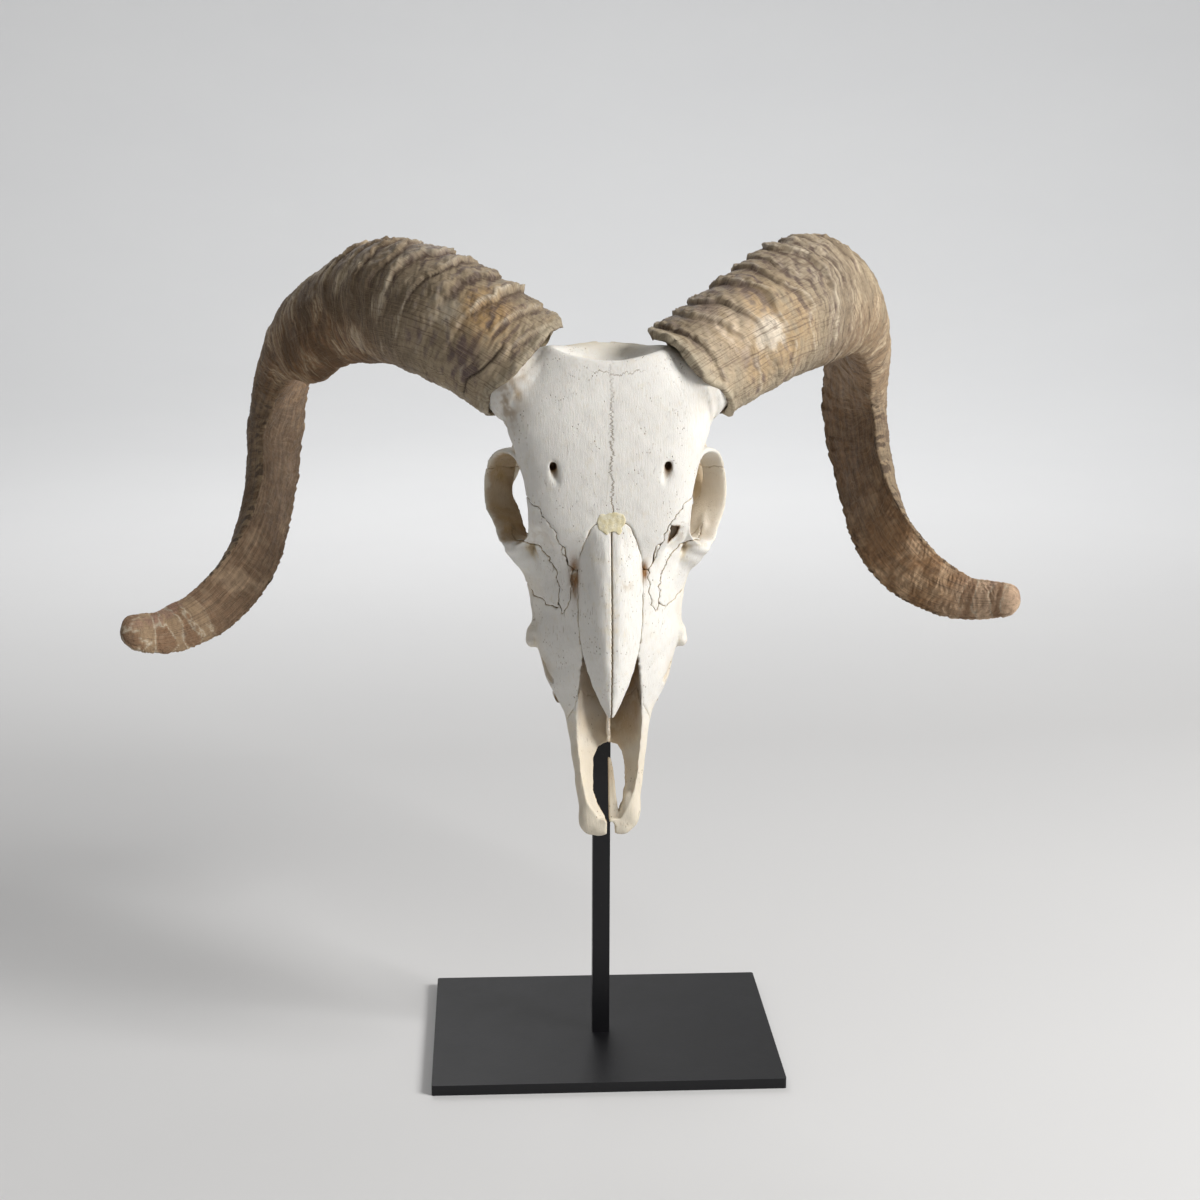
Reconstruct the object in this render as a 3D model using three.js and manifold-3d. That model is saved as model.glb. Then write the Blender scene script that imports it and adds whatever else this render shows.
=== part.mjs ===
// A horned ram's skull, without its lower jaw, on a steel display stand.
// Millimetres, +Z up. The face looks along -Y, so the animal's left side is at +X.
// The skull is laid out in its own frame: x to its left, s down the face from the poll (the top of the
// forehead) to the muzzle, and d behind the face. The skull group then leans that frame on the stand.
import * as THREE from 'three';
import { LoftGeometry } from 'three/addons/geometries/LoftGeometry.js';
import { mergeVertices } from 'three/addons/utils/BufferGeometryUtils.js';
import Module from 'manifold-3d';

const wasm = await Module();
wasm.setup();

// ---------------------------------------------------------------- driving dimensions
const BASE = { width: 200, depth: 150, thick: 6, corner: 1.5 };
const ROD = { side: 10, x: -1.5, y: -4, top: 318 };
const POLL = new THREE.Vector3(-0.5, -56, 407);
const LEAN = THREE.MathUtils.degToRad(8);
const GAP = 0.3;
const RIGHT = -1;
const LEFT = 1;
const BOTH = [RIGHT, LEFT];
const FAR = 400;

// ---------------------------------------------------------------- materials
const paint = (color, roughness, metalness = 0) =>
  new THREE.MeshStandardMaterial({ color, roughness, metalness });
const BONE = paint(0xe9e4d8, 0.75);
const NASAL_BONE = paint(0xeee8da, 0.7);
const MUZZLE_BONE = paint(0xe2d3b6, 0.72);
const HORN = paint(0x8f775a, 0.65);
const STEEL = paint(0x1b1b1d, 0.5, 0.4);

// ---------------------------------------------------------------- small tools
// A smooth curve through [s, value] keys: cubic pieces whose slopes follow the neighbouring keys.
function keyed(keys) {
  const slope = (i) => {
    const a = keys[Math.max(i - 1, 0)];
    const b = keys[Math.min(i + 1, keys.length - 1)];
    return (b[1] - a[1]) / (b[0] - a[0]);
  };
  return (s) => {
    if (s <= keys[0][0]) return keys[0][1];
    if (s >= keys.at(-1)[0]) return keys.at(-1)[1];
    const i = keys.findIndex((key) => key[0] > s) - 1;
    const [s0, v0] = keys[i];
    const [s1, v1] = keys[i + 1];
    const span = s1 - s0;
    const w = (s - s0) / span;
    const blend = 3 * w ** 2 - 2 * w ** 3;
    return (1 - blend) * v0 + blend * v1
      + span * ((w ** 3 - 2 * w ** 2 + w) * slope(i) + (w ** 3 - w ** 2) * slope(i + 1));
  };
}

const range = (from, to, count) =>
  Array.from({ length: count + 1 }, (_, i) => from + ((to - from) * i) / count);

const turns = (count) => range(0, 2 * Math.PI, count).slice(0, -1);

const place = (x, s, d) => new THREE.Vector3(x, d, -s);

const power = (value, exponent) => Math.sign(value) * Math.abs(value) ** exponent;

// A closed geometry as a manifold-3d solid: only positions are kept, and flat triangles are dropped.
function solid(geometry) {
  const bare = new THREE.BufferGeometry().setAttribute('position', geometry.getAttribute('position'));
  bare.setIndex(geometry.index);
  const merged = mergeVertices(bare, 1e-4);
  const corners = [];
  const index = merged.index.array;
  for (let i = 0; i < index.length; i += 3) {
    const [a, b, c] = [index[i], index[i + 1], index[i + 2]];
    if (a !== b && b !== c && c !== a) corners.push(a, b, c);
  }
  return new wasm.Manifold(new wasm.Mesh({
    numProp: 3,
    vertProperties: merged.getAttribute('position').array,
    triVerts: new Uint32Array(corners),
  }));
}

function geometryOf(manifold) {
  const mesh = manifold.getMesh();
  const geometry = new THREE.BufferGeometry();
  geometry.setAttribute('position', new THREE.BufferAttribute(new Float32Array(mesh.vertProperties), 3));
  geometry.setIndex(new THREE.BufferAttribute(new Uint32Array(mesh.triVerts), 1));
  geometry.computeVertexNormals();
  return geometry;
}

// The largest separate body of a solid, without the crumbs that a cut can leave.
const mainBody = (manifold) =>
  manifold.decompose().reduce((best, body) => (body.volume() > best.volume() ? body : best));

const middle = (ring) =>
  ring.reduce((sum, point) => sum.add(point), new THREE.Vector3()).divideScalar(ring.length);

// A solid through rings of points. Rings that run clockwise, seen from the last one, are turned round.
function loft(sections, ends = { capStart: true, capEnd: true }) {
  const centre = middle(sections[0]);
  const facing = sections[0].reduce((sum, point, i, ring) => sum.add(new THREE.Vector3().crossVectors(
    point.clone().sub(centre), ring[(i + 1) % ring.length].clone().sub(centre))), new THREE.Vector3());
  const forward = facing.dot(middle(sections[1]).sub(centre)) > 0;
  return solid(new LoftGeometry(forward ? sections : sections.map((ring) => [...ring].reverse()), ends));
}

// A loft down the face. shape gives half (half width), front and back (depths on the midline),
// widest (depth of the widest place) and the two roundness exponents at each s.
function faceLoft(from, to, rings, sides, shape) {
  return loft(range(from, to, rings).map((s) => turns(sides).map((angle) => {
    const front = Math.sin(angle) > 0;
    const exponent = 2 / (front ? shape.frontPower : shape.backPower);
    const reach = front ? shape.widest(s) - shape.front(s) : shape.back(s) - shape.widest(s);
    return place(
      shape.half(s) * power(Math.cos(angle), exponent),
      s,
      shape.widest(s) - reach * power(Math.sin(angle), exponent),
    );
  })));
}

// An ellipsoid centred at (x, s, d) with radii along x, s and d.
function ellipsoid(x, s, d, radii, slices = 8) {
  const geometry = new THREE.SphereGeometry(1, slices, Math.round(slices * 0.6));
  geometry.scale(radii[0], radii[2], radii[1]);
  const centre = place(x, s, d);
  geometry.translate(centre.x, centre.y, centre.z);
  return solid(geometry);
}

// A bar through points, with an elliptic section of half sizes [wide, thin] at each one.
// wide lies along the direction given in wideAlong, squared to the path.
function bar(points, halves, wideAlong, sides = 8, rings = 6) {
  const path = new THREE.CatmullRomCurve3(points, false, 'catmullrom', 0.5);
  const wide = keyed(halves.map((half, i) => [i / (halves.length - 1), half[0]]));
  const thin = keyed(halves.map((half, i) => [i / (halves.length - 1), half[1]]));
  return loft(range(0, 1, rings).map((t) => {
    const tangent = path.getTangent(t);
    const across = wideAlong.clone().addScaledVector(tangent, -wideAlong.dot(tangent)).normalize();
    const other = new THREE.Vector3().crossVectors(tangent, across);
    return turns(sides).map((angle) => path.getPoint(t)
      .addScaledVector(across, wide(t) * Math.cos(angle))
      .addScaledVector(other, thin(t) * Math.sin(angle)));
  }));
}

// A block whose outline is drawn on the face in (x, s) and which reaches from depth d0 to d1.
function block(outline, d0, d1) {
  const shape = new THREE.Shape(outline.map(([x, s]) => new THREE.Vector2(x, s)));
  const geometry = new THREE.ExtrudeGeometry(shape, { depth: d1 - d0, bevelEnabled: false });
  geometry.translate(0, 0, d0);
  geometry.rotateX(-Math.PI / 2);
  return solid(geometry);
}

const mirrored = (outline, side) => outline.map(([x, s]) => [x * side, s]);

// The same outline pushed outwards by a gap, corner by corner.
function grown(outline, gap) {
  const turn = THREE.ShapeUtils.area(outline.map(([x, y]) => new THREE.Vector2(x, y))) > 0 ? 1 : -1;
  return outline.map(([x, y], i) => {
    const [px, py] = outline.at(i - 1);
    const [nx, ny] = outline[(i + 1) % outline.length];
    const before = new THREE.Vector2(x - px, y - py).normalize();
    const after = new THREE.Vector2(nx - x, ny - y).normalize();
    const out = before.clone().add(after).normalize();
    const stretch = gap / Math.max(0.4, out.dot(after));
    return [x + out.y * stretch * turn, y - out.x * stretch * turn];
  });
}

// ---------------------------------------------------------------- the horns
// Stations along each horn, in the skull frame: [x, depth, height above the poll, half the chord from
// the crest edge to the keel edge]. The two horns of this ram differ, so each has its own.
const HORN_PATH = {
  [RIGHT]: [[-44, 32, -1, 33], [-79, 45, 23, 34.5], [-114, 74, 37, 35], [-147, 113, 34, 32.5],
    [-174, 146, 13, 28], [-188, 164, -30, 23.5], [-192, 157, -70, 20.5], [-202, 138, -106, 17.5],
    [-224, 118, -135, 15], [-248, 98, -148, 12], [-266, 85, -148, 9.5]],
  [LEFT]: [[45, 32, -3, 31], [76, 46, 17, 34], [108, 74, 35, 38], [136, 110, 41, 36],
    [153, 145, 20, 31.5], [157, 168, -19, 28], [162, 164, -58, 25], [171, 146, -93, 21],
    [188, 126, -119, 17], [211, 104, -133, 13.5], [235, 85, -134, 10]],
};
// The sections that both horns share, mirrored: how far the outer face bulges, how far the inner one
// does, and the way that the inner face looks, for the horn at -X.
const HORN_SECTIONS = [
  { outer: 30, inner: 17, looks: [0.25, 0.93, -0.03] },
  { outer: 30, inner: 16, looks: [0.42, 0.86, -0.03] },
  { outer: 29, inner: 14, looks: [0.6, 0.76, 0] },
  { outer: 27, inner: 12, looks: [0.78, 0.43, -0.46] },
  { outer: 24, inner: 8, looks: [0.93, -0.05, -0.36] },
  { outer: 21, inner: 3, looks: [0.92, -0.38, -0.05] },
  { outer: 20, inner: 2, looks: [0.91, -0.4, -0.06] },
  { outer: 17, inner: 2, looks: [0.83, -0.51, 0.13] },
  { outer: 13, inner: 3, looks: [0.6, -0.74, 0.25] },
  { outer: 10, inner: 5, looks: [0.25, -0.9, 0.28] },
  { outer: 8, inner: 6, looks: [0.2, -0.9, 0.28] },
];
const TIP_LENGTH = 9;
const SHEATH_WALL = 4.5;
const CORE_SLACK = 1.2;
const SOCKET_END = 0.17;
const CORE_END = 0.15;
const HORN_RINGS = 35;
const HORN_SIDES = 12;
const RIDGES = { count: 7, height: 2.6, fade: 0.6 };

const lastStation = HORN_SECTIONS.length - 1;
const sectionKey = (pick) => keyed(HORN_SECTIONS.map((section, i) => [i / lastStation, pick(section)]));
const hornChord = Object.fromEntries(BOTH.map((side) =>
  [side, keyed(HORN_PATH[side].map((station, i) => [i / lastStation, station[3]]))]));
const hornOuter = sectionKey((section) => section.outer);
const hornInner = sectionKey((section) => section.inner);
const hornLooks = [0, 1, 2].map((axis) => sectionKey((section) => section.looks[axis]));

const hornPath = (side) => new THREE.CatmullRomCurve3(
  HORN_PATH[side].map(([x, d, z]) => new THREE.Vector3(x, d, z)), false, 'catmullrom', 0.5);

// The place and directions of the horn at t, from 0 at the rim to 1 before the tip. Below 0 it runs
// straight on into the skull.
function hornFrame(side, t) {
  const path = hornPath(side);
  const held = THREE.MathUtils.clamp(t, 0, 1);
  const along = path.getTangent(held);
  const centre = path.getPoint(held).addScaledVector(along, (t - held) * path.getLength());
  const inward = new THREE.Vector3(...hornLooks.map((look) => look(held)));
  inward.x *= -side;
  inward.addScaledVector(along, -inward.dot(along)).normalize();
  const crest = new THREE.Vector3().crossVectors(inward, along).multiplyScalar(-side);
  return { centre, along, inward, crest };
}

// One ring of the horn: angle 0 is the crest edge and half a turn the keel edge. shrink is taken off
// every half size, scale multiplies them, and ridge lifts the outer face and the crest.
function hornRing(side, t, sides, { shrink = 0, scale = 1, ridge = 0 } = {}) {
  const { centre, inward, crest } = hornFrame(side, t);
  const held = THREE.MathUtils.clamp(t, 0, 1);
  const [chord, outer, inner] = [hornChord[side](held), hornOuter(held), hornInner(held)]
    .map((half) => Math.max(0.4, (half - shrink) * scale));
  return turns(sides).map((angle) => {
    const depth = Math.sin(angle) > 0 ? inner : outer;
    const lift = 1 + ridge * Math.max(0, 0.45 + 0.55 * Math.cos(angle)) / chord;
    return centre.clone()
      .addScaledVector(crest, chord * lift * Math.cos(angle))
      .addScaledVector(inward, depth * lift * Math.sin(angle));
  });
}

// The horny sheath: ridged near the skull, smooth towards a rounded tip, hollow where the core goes in.
function hornSheath(side) {
  const body = range(0, 1, HORN_RINGS).map((t) => {
    const growth = 0.5 - 0.5 * Math.cos(2 * Math.PI * t * RIDGES.count / RIDGES.fade);
    const fade = Math.max(0, 1 - t / RIDGES.fade);
    return hornRing(side, t, HORN_SIDES, { ridge: RIDGES.height * growth * fade });
  });
  const tipShare = TIP_LENGTH / hornPath(side).getLength();
  const tip = range(0, Math.PI / 2, 4).slice(1).map((turn) =>
    hornRing(side, 1 + tipShare * Math.sin(turn), HORN_SIDES, { scale: Math.cos(turn) + 0.03 }));
  const socket = range(-0.04, SOCKET_END, 4).map((t) => hornRing(side, t, 10, {
    shrink: SHEATH_WALL, scale: Math.sqrt(Math.max(0.02, 1 - (Math.max(0, t) / SOCKET_END) ** 3)),
  }));
  return loft([...body, ...tip]).subtract(loft(socket));
}

// The bony core that the frontal bone grows into the sheath.
function hornCore(side) {
  return loft(range(-0.07, CORE_END, 5).map((t) => hornRing(side, t, 10, {
    shrink: SHEATH_WALL + CORE_SLACK,
    scale: Math.sqrt(Math.max(0.05, 1 - (Math.max(0, t) / CORE_END) ** 3)) * (t < -0.03 ? 0.9 : 1),
  })));
}

// ---------------------------------------------------------------- the braincase and forehead
function forehead() {
  return faceLoft(-12, 112, 10, 14, {
    half: keyed([[-12, 30], [-6, 38], [4, 46], [18, 53], [34, 54.5], [44, 51.5], [57, 47.5], [76, 43.5],
      [90, 43], [112, 38]]),
    front: keyed([[-12, 16], [-6, 6], [0, 1.5], [20, -3], [45, -6], [65, -5], [82, -2], [112, 2]]),
    widest: keyed([[-12, 24], [0, 20], [34, 17], [57, 13], [76, 13], [90, 18], [112, 30]]),
    back: keyed([[-12, 40], [34, 34], [57, 27], [76, 27], [90, 36], [112, 50]]),
    frontPower: 2.2,
    backPower: 2,
  });
}

function braincase() {
  return faceLoft(-15, 112, 9, 12, {
    half: keyed([[-15, 17], [-12, 27], [-4, 35], [8, 40], [22, 42], [38, 39], [52, 33], [66, 27], [80, 24],
      [112, 24]]),
    front: keyed([[-15, 44], [-8, 30], [0, 14], [12, 8], [112, 8]]),
    widest: keyed([[-15, 50], [8, 58], [40, 58], [80, 50], [112, 46]]),
    back: keyed([[-15, 56], [-8, 76], [0, 92], [10, 103], [20, 105], [38, 95], [56, 85], [70, 80], [84, 76],
      [112, 74]]),
    frontPower: 2.2,
    backPower: 2.4,
  });
}

// Condyles, jugular processes, bullae and ear tubes under the braincase, each on both sides.
function skullBase(side) {
  const jugular = bar(
    [place(29 * side, 20, 90), place(31 * side, 29, 104), place(28 * side, 40, 117)],
    [[7, 4], [5, 3], [2, 2]], new THREE.Vector3(side, 0.4, 0.4), 6, 4);
  const earTube = bar(
    [place(32 * side, 30, 82), place(45 * side, 27, 86)],
    [[5, 5], [4, 4]], new THREE.Vector3(0, 1, 0), 6, 1);
  const pterygoid = bar(
    [place(15 * side, 66, 74), place(14 * side, 86, 84), place(13 * side, 100, 84)],
    [[10, 2.5], [11, 2.5], [9, 2.5]], new THREE.Vector3(0, 1, -0.3), 6, 3);
  return [
    ellipsoid(13 * side, 8, 102, [8.5, 10, 8.5]),
    ellipsoid(19 * side, 38, 93, [8.5, 12, 9]),
    jugular,
    earTube,
    pterygoid,
  ];
}

function foramenMagnum() {
  return bar([place(0, -22, 84), place(0, 6, 90), place(0, 22, 84)],
    [[10, 9], [10, 9], [6, 6]], new THREE.Vector3(1, 0, 0), 10, 3);
}

// ---------------------------------------------------------------- the orbits and cheeks
// The orbit's rim is an ellipse leaning outwards: up and down the face by high, and from the forehead's
// edge to the cheek by wide. The bone runs inwards from the rim as a short funnel.
const ORBIT = { x: 54.5, s: 70.5, d: 29, high: 25, wide: 21.5, bone: 2.4, depth: 7.5 };
const ORBIT_ACROSS = new THREE.Vector3(0.48, 0.877, 0);
const ORBIT_INWARD = new THREE.Vector3(-0.877, 0.48, 0);

function orbitPoint(side, angle, inset = 0, swell = 0) {
  const across = (ORBIT.wide + swell) * Math.sin(angle);
  const point = place(ORBIT.x, ORBIT.s + (ORBIT.high + swell) * Math.cos(angle), ORBIT.d);
  point.addScaledVector(ORBIT_ACROSS, across).addScaledVector(ORBIT_INWARD, inset);
  point.x *= side;
  return point;
}

function orbitRing(side) {
  const rings = range(0, 2 * Math.PI, 16).map((angle) => turns(6).map((turn) => orbitPoint(
    side, angle, ORBIT.depth + ORBIT.depth * Math.cos(turn), ORBIT.bone * Math.sin(turn))));
  return loft(rings, {});
}

// The hollow that the eye filled: a blunt cone from outside the rim to behind it, as
// [how far inwards, how much wider than the rim's middle line].
const HOLLOW = [[-14, 8], [0, -0.5], [ORBIT.depth, -2.4], [22, -6], [33, -12]];

function orbitHollow(side) {
  return loft(HOLLOW.map(([inset, swell]) =>
    turns(12).map((angle) => orbitPoint(side, angle, inset, swell))));
}

function cheek(side) {
  const arch = bar(
    [place(54 * side, 93, 44), place(56 * side, 82, 60), place(54 * side, 60, 72), place(47 * side, 38, 80),
      place(36 * side, 30, 78)],
    [[8, 3.2], [6.5, 3], [5, 3], [6.5, 3.5], [9, 5]], new THREE.Vector3(0, 0.9, -0.45), 6, 7);
  const malar = bar(
    [place(37 * side, 126, 41), place(42 * side, 111, 36), place(50 * side, 98, 37)],
    [[14, 5], [13, 5.5], [9, 4.5]], new THREE.Vector3(0, 1, 0.2), 8, 3);
  return [arch, malar];
}

// ---------------------------------------------------------------- the muzzle
const muzzleHalf = keyed([[84, 37], [96, 41], [110, 42], [135, 40.2], [149, 40.8], [160, 37.6], [170, 34],
  [180, 29], [190, 23.8], [212, 20.3], [230, 18.1], [243, 16], [250, 12.8], [255, 7.5]]);
const palate = keyed([[84, 70], [100, 78], [116, 78], [135, 71], [150, 66], [165, 60], [180, 54], [190, 49],
  [212, 41], [230, 36], [246, 32], [255, 30]]);
const muzzleFront = keyed([[84, 0], [100, 1], [150, 2], [160, 6], [186, 13], [212, 18], [246, 21],
  [255, 22.5]]);

function muzzle() {
  return faceLoft(84, 255, 16, 14, {
    half: muzzleHalf,
    front: muzzleFront,
    widest: keyed([[84, 30], [118, 37], [150, 42], [180, 35], [212, 29], [246, 27], [255, 26.5]]),
    back: palate,
    frontPower: 1.7,
    backPower: 2.8,
  });
}

const passageFloor = keyed([[138, 44], [165, 48], [190, 40.5], [212, 33.5], [230, 29.8], [247, 25]]);

// The nasal passage, open in front of the palate from under the nasal bones to the muzzle's body.
function nasalPassage() {
  return faceLoft(138, 247, 9, 12, {
    half: keyed([[138, 9], [150, 14], [190, 17.2], [212, 15.8], [230, 13.6], [240, 11], [247, 6]]),
    front: () => -40,
    widest: keyed([[138, 20], [190, 24], [212, 25], [247, 23]]),
    back: passageFloor,
    frontPower: 8,
    backPower: 2.2,
  });
}

// The gap in the palate between the two muzzle bones. The thin spike that the left one keeps beside the
// middle is broken off on the right.
const FISSURE = {
  [RIGHT]: [[0.3, 206], [5.5, 209], [8.6, 217], [9, 238], [6.5, 246], [2.5, 250], [2.5, 270], [0.3, 270]],
  [LEFT]: [[4.6, 210], [7, 212], [9.4, 218], [9.6, 238], [7, 246], [4.5, 250], [4, 270], [0.3, 270],
    [0.3, 251], [2.8, 249]],
};
const palateFissure = (side) => block(mirrored(FISSURE[side], side), 10, 60);

const vault = keyed([[96, 30], [112, 24], [124, 13], [140, 9], [185, 4.5], [232, 1]]);

// The hollow roof of the mouth between the two rows of teeth, and the way into the nose behind it.
function mouthRoof() {
  return faceLoft(96, 232, 9, 10, {
    half: keyed([[96, 12], [110, 17], [150, 20], [185, 15], [210, 10], [232, 5]]),
    front: (s) => palate(s) - vault(s),
    widest: (s) => palate(s) + 4,
    back: () => 100,
    frontPower: 2.2,
    backPower: 6,
  });
}

// Six cheek teeth a side, longer towards the back, that stand against each other along a bowed row.
const TEETH = { lengths: [7.5, 9, 10.5, 13, 16, 18], from: 186, root: 8, crown: 9, gap: 0.5 };

function toothRow(side) {
  return TEETH.lengths.map((length, i) => {
    const s = TEETH.from - TEETH.lengths.slice(0, i).reduce((sum, one) => sum + one, 0) - length / 2;
    const along = THREE.MathUtils.inverseLerp(TEETH.from, 112, s);
    const x = (23.5 + 10.5 * Math.sin(along * Math.PI * 0.55)) * side;
    const [long, wide] = [length / 2 - TEETH.gap / 2, 4.2 + 2.6 * Math.sqrt(along)];
    return loft([[-TEETH.root, 0.9], [TEETH.crown - 1.5, 1], [TEETH.crown, 0.8]].map(([height, size]) =>
      turns(8).map((angle) => {
        const at = s + long * size * power(Math.sin(angle + Math.PI / 8), 0.6);
        return place(x + wide * size * power(Math.cos(angle + Math.PI / 8), 0.6), at, palate(at) + height);
      })));
  });
}

// ---------------------------------------------------------------- the nasal bones and vomer
const nasalHalf = keyed([[85, 9], [90, 12.5], [97, 15.5], [106, 17], [127, 17.3], [148, 16], [160, 13.5],
  [170, 10.5], [180, 6], [189, 2.2]]);
const nasalTop = keyed([[85, -4], [100, -6.5], [130, -8.5], [160, -7], [180, -1.5], [189, 3]]);
const nasalEdge = keyed([[85, 0], [106, 3], [150, 6], [175, 6], [189, 7]]);
const NASAL_THICK = 3;
const NASAL_RINGS = range(85, 189, 11);

const nasalDepth = (s, share) => nasalTop(s) + (nasalEdge(s) - nasalTop(s)) * share ** 2.2;

// One arched nasal bone: out along its upper surface and back along its lower one.
function nasalBone(side) {
  const shares = range(0, 1, 4);
  return loft(NASAL_RINGS.map((s) => {
    const across = (share) => side * (GAP / 2 + (nasalHalf(s) - GAP / 2) * share);
    const upper = shares.map((share) => place(across(share), s, nasalDepth(s, share)));
    const lower = shares.map((share) => place(across(share), s, nasalDepth(s, share) + NASAL_THICK));
    return [...upper, ...lower.reverse()];
  }));
}

// The space that the nasal bones lie in, with the gap all round, open to the front.
function nasalBed() {
  const shares = range(-1, 1, 8);
  return loft([NASAL_RINGS[0] - GAP, ...NASAL_RINGS, 200].map((s) => {
    const under = (share) => nasalDepth(s, Math.abs(share)) + NASAL_THICK + GAP;
    const side = nasalHalf(s) + GAP;
    const floor = shares.map((share) => place(nasalHalf(s) * share, s, under(share)));
    const walls = [-side, side].map((x) => [place(x, s, -40), place(x, s, under(1))]);
    return [...walls[0], ...floor, ...walls[1].reverse()];
  }));
}

// A block whose outline is drawn from the side in (d, s) and which reaches from x0 to x1.
function sideBlock(outline, x0, x1) {
  const shape = new THREE.Shape(outline.map(([d, s]) => new THREE.Vector2(d, s)));
  const geometry = new THREE.ExtrudeGeometry(shape, { depth: x1 - x0, bevelEnabled: false });
  geometry.applyMatrix4(new THREE.Matrix4().makeBasis(
    new THREE.Vector3(0, 1, 0), new THREE.Vector3(0, 0, -1), new THREE.Vector3(-1, 0, 0)));
  geometry.translate(x1, 0, 0);
  return solid(geometry);
}

// The thin wall down the middle of the nose, standing on the floor of the passage.
const VOMER = { from: 139, to: 206, thick: 2.4, topFrom: 16, topTo: 29, lift: 1.2 };

function vomer() {
  const along = range(VOMER.from, VOMER.to, 6);
  const top = keyed([[VOMER.from, VOMER.topFrom], [VOMER.to, VOMER.topTo]]);
  const floor = along.map((s) => [passageFloor(s) - VOMER.lift, s]);
  const outline = [...along.map((s) => [top(s), s]), ...floor.reverse()];
  return sideBlock(outline, -VOMER.thick / 2, VOMER.thick / 2);
}

// ---------------------------------------------------------------- sutures, as outlines on the face
const LACRIMAL = [[20.5, 109], [26, 97], [30, 88], [37.5, 77], [46, 68], [52, 67], [52, 93], [38, 96],
  [33, 102], [28.5, 110], [26.8, 119], [27, 128], [24.8, 131], [20.8, 119]];
const MALAR = [[38, 96], [52, 93], [70, 93], [70, 116], [46, 119], [40.5, 123], [34, 128], [29, 130],
  [27, 128], [26.8, 119], [28.5, 110], [33, 102]];
const CHEEK = [[44, 55], [80, 55], [80, 118], [44, 118]];
const CHEEK_FROM_DEPTH = 26;
const MAXILLA_FROM = 96;
const PREMAXILLA = [[-40, 152], [6, 152], [12, 168], [20, 184], [37, 199], [75, 209], [75, 280],
  [-40, 280]];
// The broken corner between the left frontal and lacrimal bones.
const BREAK = [[29, 84], [36.5, 85.5], [32, 93]];
const FORAMEN = { x: 29.5, s: 55.5, radii: [2.2, 3.4, 5] };

// Everything on one side of the middle, from a given s down.
function halfBelow(side, s) {
  const across = side === LEFT ? [GAP / 2, FAR] : [-FAR, -GAP / 2];
  return sideBlock([[-FAR, s], [FAR, s], [FAR, FAR], [-FAR, FAR]], ...across);
}

// The rod's own space in the skull's frame.
function rodSocket(skull) {
  const side = ROD.side + 2 * GAP;
  const geometry = new THREE.BoxGeometry(side, side, ROD.top + GAP);
  geometry.translate(ROD.x, ROD.y, (ROD.top + GAP) / 2);
  geometry.applyMatrix4(skull.matrixWorld.clone().invert());
  return solid(geometry);
}

// ---------------------------------------------------------------- the whole skull, then its bones
function wholeSkull(skull) {
  const outside = wasm.Manifold.union([forehead(), braincase(), muzzle(), ...BOTH.flatMap((side) => [
    ...skullBase(side), ...cheek(side), ...toothRow(side), hornCore(side)])]);
  const hollows = wasm.Manifold.union([foramenMagnum(), nasalPassage(), nasalBed(), mouthRoof(),
    rodSocket(skull), block(BREAK, -FAR, 14), ...BOTH.flatMap((side) => [
      palateFissure(side), ellipsoid(FORAMEN.x * side, FORAMEN.s, -2, FORAMEN.radii, 6)])]);
  const rims = wasm.Manifold.union(BOTH.map(orbitRing));
  return outside.subtract(wasm.Manifold.union(BOTH.map(orbitHollow))).add(rims).subtract(hollows);
}

const skull = new THREE.Group();
skull.name = 'skull';
skull.position.copy(POLL);
skull.rotation.x = -LEAN;
skull.updateMatrixWorld(true);

const group = new THREE.Group();
group.name = 'ram_skull';
group.add(skull);

function addMesh(parent, name, geometry, material) {
  const mesh = new THREE.Mesh(geometry, material);
  mesh.name = name;
  parent.add(mesh);
}

const sideName = (side) => (side === LEFT ? 'left' : 'right');
const addBone = (name, manifold, material) =>
  addMesh(skull, name, geometryOf(mainBody(manifold)), material);

let rest = wholeSkull(skull);
for (const side of BOTH) {
  const lacrimal = mirrored(LACRIMAL, side);
  addBone(`lacrimal_${sideName(side)}`, rest.intersect(block(lacrimal, -FAR, 40)), BONE);
  rest = rest.subtract(block(grown(lacrimal, GAP), -FAR, 40 + GAP));
  const malar = mirrored(MALAR, side);
  const cheekSide = mirrored(CHEEK, side);
  addBone(`zygomatic_${sideName(side)}`,
    rest.intersect(block(malar, -FAR, 62).add(block(cheekSide, CHEEK_FROM_DEPTH, FAR))), BONE);
  rest = rest.subtract(block(grown(malar, GAP), -FAR, 62 + GAP))
    .subtract(block(grown(cheekSide, GAP), CHEEK_FROM_DEPTH - GAP, FAR));
}
for (const side of BOTH) {
  const half = halfBelow(side, MAXILLA_FROM + GAP);
  const muzzleEnd = sideBlock(PREMAXILLA, -FAR, FAR);
  addBone(`premaxilla_${sideName(side)}`, rest.intersect(half).intersect(muzzleEnd), MUZZLE_BONE);
  addBone(`maxilla_${sideName(side)}`,
    rest.intersect(half).subtract(sideBlock(grown(PREMAXILLA, GAP), -FAR, FAR)), BONE);
  addBone(`nasal_${sideName(side)}`, nasalBone(side), NASAL_BONE);
  addMesh(skull, `horn_${sideName(side)}`, geometryOf(mainBody(hornSheath(side))), HORN);
}
addBone('vomer', vomer(), MUZZLE_BONE);
const aboveFace = sideBlock(
  [[-FAR, -FAR], [FAR, -FAR], [FAR, MAXILLA_FROM], [-FAR, MAXILLA_FROM]], -FAR, FAR);
addBone('cranium', rest.intersect(aboveFace), BONE);

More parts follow.
